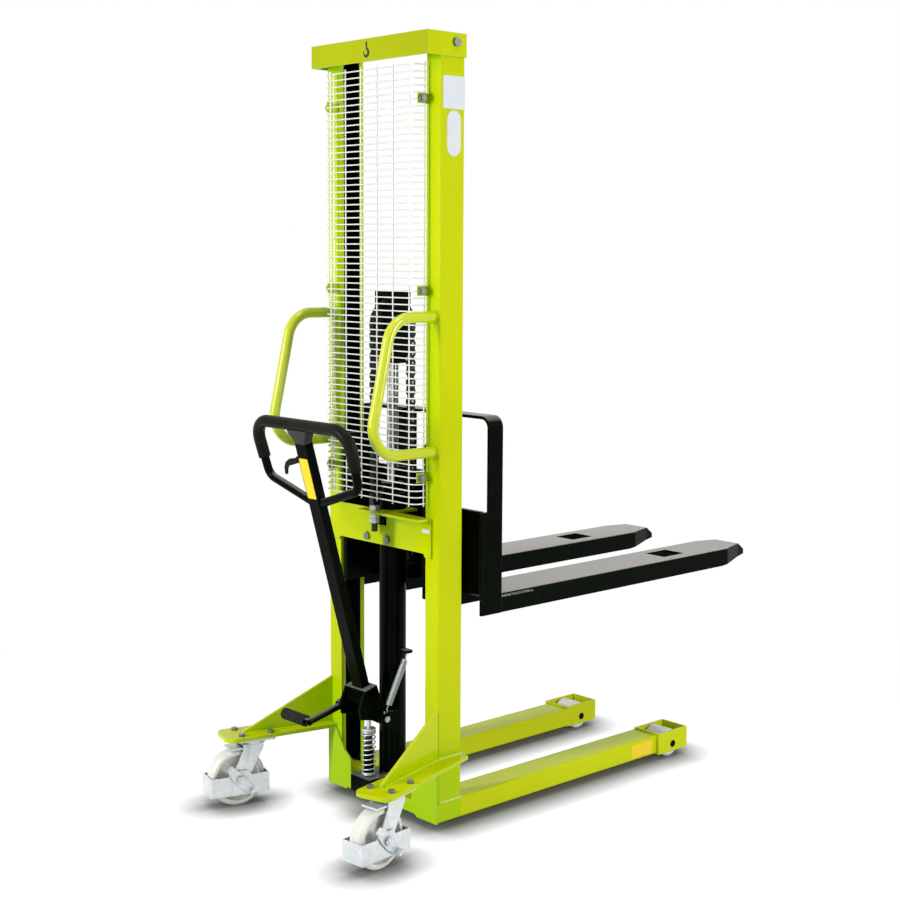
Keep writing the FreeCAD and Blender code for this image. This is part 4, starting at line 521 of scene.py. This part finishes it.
def turned(profile, centre, axis, sides):
    """Surface of revolution: each row is a circle of the profile's radius at its distance along the axis."""
    profile = np.asarray(profile, float)
    axis = unit(np.asarray(axis, float))
    side = unit(np.cross(axis, (0.3, 0.5, 0.81)))
    ring = circle(side, np.cross(axis, side), sides)
    return np.asarray(centre, float) + profile[:, 1, None, None] * axis + profile[:, 0, None, None] * ring


def slab(outline, thickness, edge):
    """Flat plate in its own plane: the outline at both faces, drawn in by the edge at the rims, closed
    inside. The first coordinate lies across, the second along, the third through the thickness."""
    outline = np.asarray(outline, float)
    middle = outline.mean(axis=0)
    reach = np.abs(outline - middle).max()
    drawn = middle + (outline - middle) * (1.0 - edge / reach)
    core = middle + (outline - middle) * np.array([0.0, 0.5])
    half = thickness / 2.0
    rows = [(core, -half), (drawn, -half), (outline, -half + edge), (outline, half - edge), (drawn, half),
            (core, half)]
    return np.stack([np.column_stack([flat, np.full(len(flat), level)]) for flat, level in rows])


def flat_stroke(path, widths, thickness):
    """Flat stroke in its own plane: at each point of the path a rectangle of its width, square to it."""
    path = np.asarray(path, float)
    heading = unit(np.gradient(path, axis=0))
    across = np.column_stack([-heading[:, 1], heading[:, 0]]) * np.asarray(widths, float)[:, None] / 2.0
    corners = np.stack([path + across, path + across, path - across, path - across], axis=1)
    level = thickness / 2.0 * np.array([-1.0, 1.0, 1.0, -1.0])[:, None]
    level = np.broadcast_to(level, corners.shape[:2] + (1,))
    return capped(np.concatenate([corners, level], axis=-1))


def carried(grid, origin, across, along, through):
    """Put a grid's own coordinates onto three directions at an origin."""
    axes = np.stack([np.asarray(v, float) for v in (across, along, through)])
    return grid @ axes + np.asarray(origin, float)


def rounded_rectangle(width, height, corner):
    """Outline of a rectangle whose four corners are quarter circles."""
    steps = 5
    angle = np.linspace(0.0, np.pi / 2.0, steps)
    quarters = []
    for i, (x, y) in enumerate(((1, 1), (-1, 1), (-1, -1), (1, -1))):
        spot = np.array([x * (width / 2.0 - corner), y * (height / 2.0 - corner)])
        turn = angle + i * np.pi / 2.0
        quarters.append(spot + corner * np.column_stack([np.cos(turn), np.sin(turn)]))
    return np.concatenate(quarters)


def grid_faces(rows, columns):
    """Corner numbers of a grid's quads, its last column joined to its first."""
    index = np.arange(rows * columns).reshape(rows, columns)
    index = np.hstack([index, index[:, :1]])
    return np.stack([index[:-1, :-1], index[1:, :-1], index[1:, 1:], index[:-1, 1:]], axis=-1).reshape(-1, 4)


def make_piece(name, shapes, material, sharp=38.0):
    """Object from grids of points in millimetres, closed round their columns, with equal points merged."""
    points, faces, start = [], [], 0
    for shape in shapes:
        shape = np.asarray(shape, float)
        copies = shape.reshape(-1, *shape.shape[-3:])
        count, rows, columns, _ = copies.shape
        firsts = start + rows * columns * np.arange(count)[:, None, None]
        faces.append((grid_faces(rows, columns)[None] + firsts).reshape(-1, 4))
        points.append(copies.reshape(-1, 3) / PER_METRE)
        start += count * rows * columns
    mesh = bpy.data.meshes.new(name)
    mesh.from_pydata(np.concatenate(points).tolist(), [], np.concatenate(faces).tolist())
    work = bmesh.new()
    work.from_mesh(mesh)
    bmesh.ops.remove_doubles(work, verts=work.verts, dist=2e-6)
    bmesh.ops.recalc_face_normals(work, faces=work.faces)
    work.to_mesh(mesh)
    work.free()
    mesh.polygons.foreach_set("use_smooth", np.ones(len(mesh.polygons), dtype=bool))
    mesh.set_sharp_from_angle(angle=math.radians(sharp))
    mesh.materials.append(material)
    piece = bpy.data.objects.new(name, mesh)
    bpy.context.scene.collection.objects.link(piece)
    return piece


def finish_of(name):
    """A finish that the paint operator has made."""
    material = bpy.data.materials.get(name)
    if material is None:
        raise RuntimeError(f"the finish {name} is not made yet")
    return material


def on_tiller(points):
    """Put points drawn along an upright tiller onto the leaning one."""
    points = np.asarray(points, float)
    c, s = math.cos(TILLER_LEAN), math.sin(TILLER_LEAN)
    turn = np.array([[c, 0.0, s], [0.0, 1.0, 0.0], [-s, 0.0, c]])
    return points @ turn.T + TILLER_BASE


class STACKER_OT_paint(bpy.types.Operator):
    """Give every solid its finish"""

    bl_idname = "stacker.paint"
    bl_label = "Paint the solids"

    def execute(self, context):
        colours, sizes = context.scene.stacker_colours, context.scene.stacker_sizes
        post = lime_paint(colours, sizes, "post_paint", inside=True)
        handle = lime_paint(colours, sizes, "handle_paint", gloss=0.6)
        # The forks' tops carry the most grey: dust and a painted sheen.
        fork = black_paint(colours, sizes, "fork_paint", dust_and_sheen=1.0)
        finishes = {
            "lime_paint": lime_paint(colours, sizes),
            "black_paint": black_paint(colours, sizes),
            "zinc_steel": zinc_steel(colours),
            "chain_steel": chain_steel(),
            "frame_bolts": zinc_steel(colours, "bolt_zinc", shade=0.30),
            # The cap's paint has painted shade on its rear faces.
            "mast_top_cap": lime_paint(colours, sizes, "cap_paint_rear_shade", rear=0.4),
            "grab_handle_left": handle,
            "grab_handle_right": handle,
            "fork_left": fork,
            "fork_right": fork,
            "pump_plunger": zinc_steel(colours, "plunger_zinc", dark=PLUNGER_DARK),
            "chain_anchor": zinc_steel(colours, "anchor_zinc", shade=0.9, dark=ANCHOR_DARK),
            "black_plastic": black_plastic(),
            "black_rubber": black_rubber(),
            "white_wire": white_wire(colours),
            "rod_chrome": rod_chrome(),
        }
        chain_steel("chain_bright", pins=True)
        weld_metal("weld_glint", colours.lime, bright=0.8)
        weld_metal("weld_lime", colours.lime, bright=0.0)
        weld_metal("weld_black", BLACK_WELD, bright=0.5)
        blank_vinyl("film_white", WHITE_FILM)
        blank_vinyl("film_yellow", colours.label)
        for row in frame["record"]["subparts"]:
            node, slot = row["node"], row["material_slot"]
            if node.startswith("mast_post"):
                material = post
            elif slot == "nylon":
                low, high = node_box(node)
                side = node.rsplit("_", 1)[1]
                turn = STEER[side] if node.startswith("caster") else 0.0
                material = nylon(colours, f"nylon_{node}", (low + high) / 2.0, turn)
            else:
                material = finishes.get(node, finishes[slot])
            solid = frame["nodes"][node]
            solid.data.materials.clear()
            solid.data.materials.append(material)
        return {"FINISHED"}


class STACKER_OT_guard(bpy.types.Operator):
    """Welded wire guard behind the mast, bent forward at both sides"""

    bl_idname = "stacker.guard"
    bl_label = "Wire guard"

    def execute(self, context):
        sizes = context.scene.stacker_sizes
        wire, bend, bend_steps = sizes.wire * PER_METRE, sizes.wire_bend * PER_METRE, 6
        row_count, column_count, column_step, overhang = 66, 6, 61.6, 6.0
        crossing = wire * 0.9
        low, high = node_box("wire_guard")
        half = high[1] - wire / 2.0
        back = low[0] + wire / 2.0
        heights = np.linspace(low[2] + wire / 2.0, high[2] - wire / 2.0, row_count)
        quarter = np.linspace(0.0, np.pi / 2.0, bend_steps)
        corner = np.column_stack([back + bend * (1.0 - np.sin(quarter)),
                                  half - bend * (1.0 - np.cos(quarter))])
        side = np.concatenate([[[high[0], half]], corner])
        flat = np.concatenate([side, [[back, 0.0]], side[::-1] * (1.0, -1.0)])
        path = np.empty((len(heights), len(flat), 3))
        path[..., :2] = flat
        path[..., 2] = heights[:, None]
        rows = tube(path, np.full(len(flat), wire / 2.0), sides=8)
        columns = column_step * (np.arange(column_count) - (column_count - 1) / 2.0)
        spots = [(back + crossing, y) for y in columns]
        spots += [(high[0] - wire / 2.0, sign * (half - crossing)) for sign in SIDES]
        levels = np.linspace(low[2] - overhang, high[2] + overhang, 4)
        posts = np.array([[(x, y, z) for z in levels] for x, y in spots])
        uprights = tube(posts, np.full(len(levels), wire / 2.0), sides=8, up=(1.0, 0.0, 0.0))
        guard = make_piece("guard_wires", [rows, uprights], finish_of("white_wire"),
                           sharp=60.0)
        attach(guard, "frame")
        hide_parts("wire_guard")
        return {"FINISHED"}


def coil_path(mean, rises, per_turn):
    """Helix on the Z axis: the angle grows evenly and the height adds up the rise of each turn."""
    turns, pitches = np.array(rises, float).T
    marks = np.concatenate([[0.0], np.cumsum(turns)])
    levels = np.concatenate([[0.0], np.cumsum(turns * pitches)])
    steps = np.linspace(0.0, marks[-1], int(marks[-1] * per_turn) + 1)
    angle = 2.0 * np.pi * steps
    return np.column_stack([mean * np.cos(angle), mean * np.sin(angle), np.interp(steps, marks, levels)])


class STACKER_OT_springs(bpy.types.Operator):
    """Compression spring on the pump plunger and tension spring of the tiller"""

    bl_idname = "stacker.springs"
    bl_label = "Springs"

    def execute(self, context):
        turns = context.scene.stacker_sizes.coil_turns
        low, high = node_box("plunger_spring")
        wire, closed_gap, low_turns, high_turns = 3.6, 0.12, 1.9, 1.1
        mean = (high[1] - low[1]) / 2.0 - wire / 2.0
        rise = high[2] - low[2] - wire
        closed = wire + closed_gap
        open_pitch = (rise - (low_turns + high_turns) * closed) / turns
        path = coil_path(mean, [(low_turns, closed), (turns, open_pitch), (high_turns, closed)], per_turn=24)
        centre = (low + high) / 2.0
        path = path + (centre[0], centre[1], low[2] + wire / 2.0)
        coil = make_piece("plunger_coil", [tube(path, np.full(len(path), wire / 2.0))],
                          finish_of("zinc_steel"), sharp=70.0)
        tuple(path[0] / PER_METRE * (0, 0, 1))
        tuple(path[-1] / PER_METRE * (0, 0, 1))
        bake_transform(coil)
        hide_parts("plunger_spring")
        self.tension_spring()
        return {"FINISHED"}

    def tension_spring(self):
        """Close coil between two hooks; the hooks are circles round the pin and the lug."""
        mean, wire, lead, turns = 7.5, 2.6, 17.0, 36.0
        hook, hook_turn, ease_steps = 5.2, 4.6, 8.0
        foot, head = SPRING_FOOT, SPRING_HEAD
        way = unit(head - foot)
        side = np.cross((0.0, 1.0, 0.0), way)
        length = np.linalg.norm(head - foot) - 2.0 * lead
        coil = coil_path(mean, [(turns, length / turns)], per_turn=16)
        steps = np.arange(len(coil))
        ease = np.clip(np.minimum(steps, steps[::-1]) / ease_steps, 0.0, 1.0)[:, None]
        sideways = coil[:, :1] * side + coil[:, 1:2] * (0.0, 1.0, 0.0)
        body = foot + (lead + coil[:, 2:]) * way + sideways * ease
        turn = np.linspace(hook_turn, 0.0, 16)[:, None]
        low_hook = foot + hook * (way * np.cos(turn) + side * np.sin(turn))
        high_hook = head - hook * (way * np.cos(turn[::-1]) + side * np.sin(turn[::-1]))
        path = np.concatenate([low_hook, body, high_hook])
        shape = tube(path, np.full(len(path), wire / 2.0), sides=8, up=(0.02, 1.0, 0.03))
        spring = make_piece("return_coil", [shape], finish_of("zinc_steel"), sharp=75.0)
        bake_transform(spring)
        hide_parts("return_spring")


def link_outline(pitch, eye, waist):
    """Side plate of a chain: two round eyes joined by a waist that narrows as a cosine squared."""
    ends = np.linspace(0.0, np.pi, 9)
    high = np.column_stack([eye * np.cos(ends), pitch / 2.0 + eye * np.sin(ends)])
    level = np.linspace(pitch / 2.0, -pitch / 2.0, 9)[1:-1]
    width = eye - (eye - waist) * np.cos(np.pi * level / pitch) ** 2
    left = np.column_stack([-width, level])
    return np.concatenate([high, left, -high, -left])


def chain_links(pins, parity):
    """Leaf chain: at every gap between two pins a set of plates, outer and inner sets in turn, and a round
    pin through the plates at each joint."""
    pins = np.asarray(pins, float)
    shapes = []
    lay = np.array([0.0, 1.0, 0.0])
    outer, inner = (-7.0, -1.4, 1.4, 7.0), (-4.2, 4.2)
    eye, waist, plate_wall, plate_edge = 10.2, 7.2, 2.5, 0.35
    pin_radius, pin_tip, pin_half, pin_shoulder = 4.2, 3.4, 8.5, 8.0
    for i in range(len(pins) - 1):
        step = pins[i + 1] - pins[i]
        pitch = np.linalg.norm(step)
        along = step / pitch
        sideways = np.cross(lay, along)
        plate = slab(link_outline(pitch, eye, waist), plate_wall, plate_edge)
        middle = (pins[i] + pins[i + 1]) / 2.0
        for shift in (outer if (i + parity) % 2 == 0 else inner):
            shapes.append(carried(plate, middle + shift * lay, sideways, along, lay))
    pin_end = [(0.0, pin_half), (pin_tip, pin_half), (pin_radius, pin_shoulder)]
    profile = [(radius, -level) for radius, level in pin_end] + pin_end[::-1]
    for pin in pins:
        shapes.append(turned(profile, pin, lay, sides=12))
    return shapes


class STACKER_OT_chain(bpy.types.Operator):
    """Leaf chain over the pulley, from the crossbeam to the carriage"""

    bl_idname = "stacker.chain"
    bl_label = "Chain"

    def execute(self, context):
        pitch = context.scene.stacker_sizes.chain_pitch * PER_METRE
        steel = finish_of("chain_bright")
        angle = np.linspace(np.pi, 0.0, int(round(np.pi * PULLEY_PITCH / pitch)) + 1)
        wrap = PULLEY + PULLEY_PITCH * np.column_stack([np.cos(angle), np.zeros(len(angle)), np.sin(angle)])
        over = make_piece("chain_over_pulley", chain_links(wrap, 0), steel)
        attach(over, "rod")
        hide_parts("chain_wrap")
        for node, body, way, parity in (("chain_run_fixed", "frame", -1.0, 1),
                                        ("chain_run_carriage", "carriage", 1.0, len(angle) - 1)):
            low, high = node_box(node)
            count = int(round((high[2] - low[2]) / pitch))
            heights = np.linspace(high[2], low[2], count + 1)
            spot = PULLEY[0] + way * PULLEY_PITCH
            pins = np.column_stack([np.full(count + 1, spot), np.zeros(count + 1), heights])
            run = make_piece(node.replace("chain_run", "chain_links"), chain_links(pins, parity), steel)
            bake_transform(run)
            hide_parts(node)
        return {"FINISHED"}


def bead(path, radius, seed):
    """Weld bead: a round cord along a path, with the radius times one plus a rectified sine of the length
    plus a random drift, and thinner at both ends."""
    step, drop, depth, spread, thin = 1.1, 3.4, 0.16, 0.05, 0.6
    path = np.asarray(path, float)
    steps = np.concatenate([[0.0], np.cumsum(np.linalg.norm(np.diff(path, axis=0), axis=1))])
    count = max(8, int(steps[-1] / step))
    even = np.linspace(0.0, steps[-1], count)
    line = np.column_stack([np.interp(even, steps, path[:, i]) for i in range(3)])
    drift = np.random.default_rng(seed).normal(0.0, spread, count)
    ripple = 1.0 + depth * np.abs(np.sin(np.pi * even / drop)) + drift
    ripple[[0, -1]] *= thin
    return tube(line, radius * ripple, sides=8, up=(0.11, 0.23, 0.97))


def ring_path(centre, radius):
    """Circle in the plane across X round a centre."""
    angle = np.linspace(0.0, 2.0 * np.pi, RING_POINTS)
    flat = np.zeros(RING_POINTS)
    return np.asarray(centre) + np.column_stack([flat, radius * np.cos(angle), radius * np.sin(angle)])


class STACKER_OT_welds(bpy.types.Operator):
    """Weld beads of the frame and of the carriage"""

    bl_idname = "stacker.welds"
    bl_label = "Weld beads"

    def execute(self, context):
        radius = context.scene.stacker_sizes.weld * PER_METRE
        ring_share = 0.6
        seat, proud, lift, ring_seat = 0.5, 1.0, 0.3, 0.8
        bracket_turn, bracket_drop, leg_turn, leg_start = 6.0, 2.0, 48.0, 4.0
        gusset_gap, past_swivel = 1.5, 20.0
        gusset_end = SWIVEL_X - past_swivel - MAST_REAR
        heel_x, heel_ends, heel_z = -317.0, (112.0, 247.0), 597.5
        foot_ends, foot_y, foot_z = (-258.0, -142.0), 251.0, 588.5
        bright, plain, dark = [], [], []
        for sign in SIDES:
            side, end = sign * (MAST_HALF + seat), sign * (MAST_HALF - bracket_turn)
            bright.append([(MAST_REAR, side, BRACKET_TOP), (POST_FRONT, side, BRACKET_TOP),
                           (POST_FRONT + proud, end, BRACKET_TOP - bracket_drop)])
            side, end = sign * (MAST_HALF - proud), sign * (MAST_HALF - leg_turn)
            level = LEG_TOP + seat
            bright.append([(MAST_REAR + leg_start, side, level), (POST_FRONT, side, level),
                           (POST_FRONT + proud, end, level)])
            for near in (GUSSET_OUTER + gusset_gap, GUSSET_OUTER - GUSSET_WALL - gusset_gap):
                far = near - gusset_end * math.tan(SPLAY)
                plain.append([(MAST_REAR - proud, sign * near, BRACKET_TOP + lift),
                              (MAST_REAR + gusset_end, sign * far, BRACKET_TOP + lift)])
            for z in HANDLE_HEIGHTS:
                plain.append(ring_path((MAST_REAR - ring_seat, sign * HANDLE_SIDE, z), HANDLE_RING))
            dark.append([(heel_x, sign * y, heel_z) for y in heel_ends])
            dark.append([(x, sign * foot_y, foot_z) for x in foot_ends])
        rows = (("bright_welds", bright, "weld_glint", "lime_paint", "frame"),
                ("frame_welds", plain, "weld_lime", "lime_paint", "frame"),
                ("carriage_welds", dark, "weld_black", "black_paint", "carriage"))
        for name, paths, finish, slot, body in rows:
            beads = [bead(path, radius * (ring_share if len(path) == RING_POINTS else 1.0), i)
                     for i, path in enumerate(paths)]
            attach(make_piece(name, beads, finish_of(finish), 80.0), body)
        return {"FINISHED"}


class STACKER_OT_saddle(bpy.types.Operator):
    """Moulded saddle that flares from the tiller tube into the grip"""

    bl_idname = "stacker.saddle"
    bl_label = "Grip saddle"

    def execute(self, context):
        """Rounded rectangle at each height; its half widths grow as a smooth step from tube to grip."""
        foot, height, corner, rows = 770.0, 36.0, 5.0, 14
        tube_half, flare = np.array([13.4, 21.4]), np.array([2.2, 18.5])
        share = np.linspace(0.0, 1.0, rows)[:, None]
        ease = share * share * (3.0 - 2.0 * share)
        half = tube_half + ease * flare
        flat = np.stack([rounded_rectangle(*(2.0 * row), corner) for row in half])
        rise = np.broadcast_to(foot + height * share[:, :, None], flat.shape[:2] + (1,))
        shape = capped(on_tiller(np.concatenate([flat, rise], axis=-1)))
        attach(make_piece("grip_saddle", [shape], finish_of("black_plastic")), "tiller")
        return {"FINISHED"}


class STACKER_OT_plates(bpy.types.Operator):
    """Bare rating plate, bare films on the post, crossbeam, leg and tiller, and the hook's pictogram"""

    bl_idname = "stacker.plates"
    bl_label = "Blank plates"

    def execute(self, context):
        right = ((1.0, 0.0, 0.0), (0.0, 0.0, 1.0), (0.0, -1.0, 0.0))
        rear = ((0.0, -1.0, 0.0), (0.0, 0.0, 1.0), (-1.0, 0.0, 0.0))
        lean = (math.sin(TILLER_LEAN), 0.0, math.cos(TILLER_LEAN))
        face = (-math.cos(TILLER_LEAN), 0.0, math.sin(TILLER_LEAN))
        tiller = ((0.0, -1.0, 0.0), lean, face)
        film, film_edge = 0.8, 0.15
        outside = -(MAST_HALF + 0.2)
        on_tube = on_tiller((-12.7, 0.0, 679.0))
        rows = (("rating_plate", "film_white", "frame", (-399.0, outside, 1840.0), right, (71.0, 78.0, 4.0)),
                ("post_film", "film_white", "frame", (-399.0, outside, 1743.0), right, (45.0, 109.0, 22.0)),
                ("leg_film", "film_yellow", "frame", (343.0, outside, 48.0), right, (88.0, 38.0, 3.0)),
                ("beam_film", "film_white", "frame", (-447.2, -176.5, 769.0), rear, (26.0, 10.0, 1.5)),
                ("tiller_film", "film_yellow", "tiller", on_tube, tiller, (34.0, 106.0, 3.0)))
        for name, finish, body, spot, axes, outline in rows:
            shape = carried(slab(rounded_rectangle(*outline), film, film_edge), spot, *axes)
            slot = "black_paint" if body == "tiller" else "lime_paint"
            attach(make_piece(name, [shape], finish_of(finish)), body)
        self.hook(rear)
        return {"FINISHED"}

    def hook(self, axes):
        """Pictogram on the cap: a stroke down and round an arc, thick at the bow and thin at the tip."""
        ink, gap, middle = 0.6, 0.1, (4.0, 1953.5)
        bow, drop, shank_x, shank_ends = 9.0, 7.5, 1.6, (18.8, 4.0)
        turn = np.linspace(math.radians(80.0), math.radians(-200.0), 22)
        arc = np.column_stack([bow * np.cos(turn), bow * np.sin(turn) - drop])
        shank = np.column_stack([np.full(5, shank_x), np.linspace(*shank_ends, 5)])
        path = np.concatenate([shank, arc])
        widths = np.interp(np.arange(len(path)), (0, 4, 14, len(path) - 1), (6.0, 5.0, 8.6, 2.4))
        spot = (node_box("mast_top_cap")[0][0] - gap, *middle)
        mark = carried(flat_stroke(path, widths, ink), spot, *axes)
        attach(make_piece("hook_mark", [mark], finish_of("black_plastic")), "frame")


def area_lamp(name, spot, target, size, power, colour):
    """Soft lamp that looks at a point."""
    data = bpy.data.lights.new(name, "AREA")
    data.shape = "RECTANGLE"
    data.size, data.size_y = size
    data.energy = power
    data.color = colour
    lamp = bpy.data.objects.new(name, data)
    lamp.location = spot
    lamp.rotation_euler = (Vector(target) - Vector(spot)).to_track_quat("-Z", "Y").to_euler()
    bpy.context.scene.collection.objects.link(lamp)


def seen_rays(root):
    """One for rays from the camera, a reflection or a clear surface, else nothing."""
    rays = [root.make("ShaderNodeLightPath", None, None, out)
            for out in ("Is Camera Ray", "Is Glossy Ray", "Is Transmission Ray")]
    return root.maths("MAXIMUM", root.maths("MAXIMUM", rays[0], rays[1]), rays[2])


def studio_world():
    """White world to look at, and a plain, faintly green light from all round."""
    world = bpy.data.worlds.new("studio")
    world.use_nodes = True
    world.node_tree.nodes.clear()
    root = Wire(world.node_tree)
    white = root.make("ShaderNodeBackground", None, {"Color": WHITE, "Strength": 1.0})
    room = root.make("ShaderNodeBackground", None, {"Color": ROOM_LIGHT, "Strength": 0.36})
    both = root.make("ShaderNodeMixShader", None, {0: seen_rays(root), 1: room, 2: white})
    out = world.node_tree.nodes.new("ShaderNodeOutputWorld")
    world.node_tree.links.new(both.socket, out.inputs["Surface"])
    bpy.context.scene.world = world


def floor_finish():
    """White floor with soft shadows under the stacker, cast by the lamps and also a painted shadow from
    the ambient occlusion, and plain further out.
    """
    f = Finish("studio_floor")
    shadow_reach, shadow_power, plain_from, plain_to = 0.10, 3.4, 1.1, 2.2
    x, y, _ = f.axes()
    away = f.root.maths("SQRT", x * x + y * y)
    open_sky = f.open_air(shadow_reach, samples=12)
    dark = f.root.make("ShaderNodeEmission", None, {"Color": SHADOW, "Strength": 0.02})
    glow = f.root.make("ShaderNodeEmission", None, {"Color": WHITE, "Strength": 0.94})
    chalk = f.root.make("ShaderNodeBsdfDiffuse", None, {"Color": opaque(WHITE[:3], 0.15)})
    # Painted shadow: the floor's glow falls to a dark emission where ambient occlusion finds the stacker
    # near.
    shaded = f.root.make("ShaderNodeMixShader", None,
                         {0: f.root.maths("POWER", open_sky, shadow_power), 1: dark, 2: glow})
    lit = f.root.make("ShaderNodeAddShader", None, {0: shaded, 1: chalk})
    white = f.root.make("ShaderNodeEmission", None, {"Color": WHITE, "Strength": 1.0})
    far = away.between(plain_from, plain_to)
    near = f.root.make("ShaderNodeMixShader", None, {0: far, 1: lit, 2: white})
    plain = f.root.make("ShaderNodeBsdfDiffuse", None, {"Color": opaque(WHITE[:3], 0.8)})
    return f.closed(f.root.make("ShaderNodeMixShader", None, {0: seen_rays(f.root), 1: plain, 2: near}))


class STACKER_OT_stage(bpy.types.Operator):
    """White studio floor, soft lamps and the camera"""

    bl_idname = "stacker.stage"
    bl_label = "Stage"

    def execute(self, context):
        scene = context.scene
        scene.view_settings.view_transform = "Standard"
        studio_world()
        floor_half, lines = 14.0, 9
        edge = np.linspace(-floor_half, floor_half, lines)
        x, y = np.meshgrid(edge, edge)
        points = np.stack([x, y, np.zeros_like(x)], axis=-1).reshape(-1, 3)
        index = np.arange(lines * lines).reshape(lines, lines)
        corners = [index[:-1, :-1], index[:-1, 1:], index[1:, 1:], index[1:, :-1]]
        quads = np.stack(corners, axis=-1).reshape(-1, 4)
        mesh = bpy.data.meshes.new("studio_floor")
        mesh.from_pydata(points.tolist(), [], quads.tolist())
        mesh.materials.append(floor_finish())
        floor = bpy.data.objects.new("studio_floor", mesh)
        scene.collection.objects.link(floor)
        mast, strip = (-0.4, 0.0, 0.9), (0.22, 1.7)
        middle, square = (-0.2, 0.0, 0.0), (1.6, 1.6)
        area_lamp("key_lamp", (0.9, -3.4, 1.75), mast, strip, power=70.0, colour=(1.0, 0.97, 0.92))
        area_lamp("rear_lamp", (-3.4, 0.5, 1.75), mast, strip, power=75.0, colour=(1.0, 1.0, 0.97))
        area_lamp("top_lamp", (-0.2, -0.4, 4.2), middle, square, power=40.0, colour=(1.0, 0.98, 0.98))
        self.camera(scene)
        return {"FINISHED"}

    def camera(self, scene):
        """Camera of the view: place, heading and focal length on a square film."""
        yaw, pitch, roll = CAMERA_YAW, CAMERA_PITCH, CAMERA_ROLL
        ahead = Vector((math.cos(pitch) * math.cos(yaw), math.cos(pitch) * math.sin(yaw), math.sin(pitch)))
        right = Vector((math.sin(yaw), -math.cos(yaw), 0.0))
        up = right.cross(ahead)
        turned_right = math.cos(roll) * right + math.sin(roll) * up
        turned_up = math.cos(roll) * up - math.sin(roll) * right
        data = bpy.data.cameras.new("camera")
        data.sensor_fit = "HORIZONTAL"
        data.sensor_width = FILM_WIDTH
        data.lens = FOCAL_PIXELS * FILM_WIDTH / PICTURE_PIXELS
        data.clip_end = 60.0
        camera = bpy.data.objects.new("camera", data)
        place = Matrix((turned_right, turned_up, -ahead)).transposed().to_4x4()
        place.translation = Vector(CAMERA_SPOT)
        camera.matrix_world = place
        scene.collection.objects.link(camera)
        scene.camera = camera


OPERATORS = (STACKER_OT_paint, STACKER_OT_guard, STACKER_OT_springs, STACKER_OT_chain, STACKER_OT_welds,
             STACKER_OT_saddle, STACKER_OT_plates, STACKER_OT_stage)


class STACKER_PT_panel(bpy.types.Panel):
    """Sizes, colours and build steps of the stacker"""

    bl_idname = "STACKER_PT_panel"
    bl_label = "Hand pallet stacker"
    bl_space_type = "VIEW_3D"
    bl_region_type = "UI"
    bl_category = "Stacker"

    def draw(self, context):
        for group in (context.scene.stacker_sizes, context.scene.stacker_colours):
            column = self.layout.column()
            for name in type(group).__annotations__:
                column.prop(group, name)
        for operator in OPERATORS:
            self.layout.operator(operator.bl_idname)


CLASSES = (StackerSizes, StackerColours) + OPERATORS + (STACKER_PT_panel,)


def register():
    for item in CLASSES:
        bpy.utils.register_class(item)
    bpy.types.Scene.stacker_sizes = PointerProperty(type=StackerSizes)
    bpy.types.Scene.stacker_colours = PointerProperty(type=StackerColours)


def unregister():
    del bpy.types.Scene.stacker_colours
    del bpy.types.Scene.stacker_sizes
    for item in reversed(CLASSES):
        bpy.utils.unregister_class(item)


def main():
    register()
    bpy.ops.stacker.paint()
    bpy.ops.stacker.guard()
    bpy.ops.stacker.springs()
    bpy.ops.stacker.chain()
    bpy.ops.stacker.welds()
    bpy.ops.stacker.saddle()
    bpy.ops.stacker.plates()
    bpy.ops.stacker.stage()


if __name__ == "__main__":
    main()
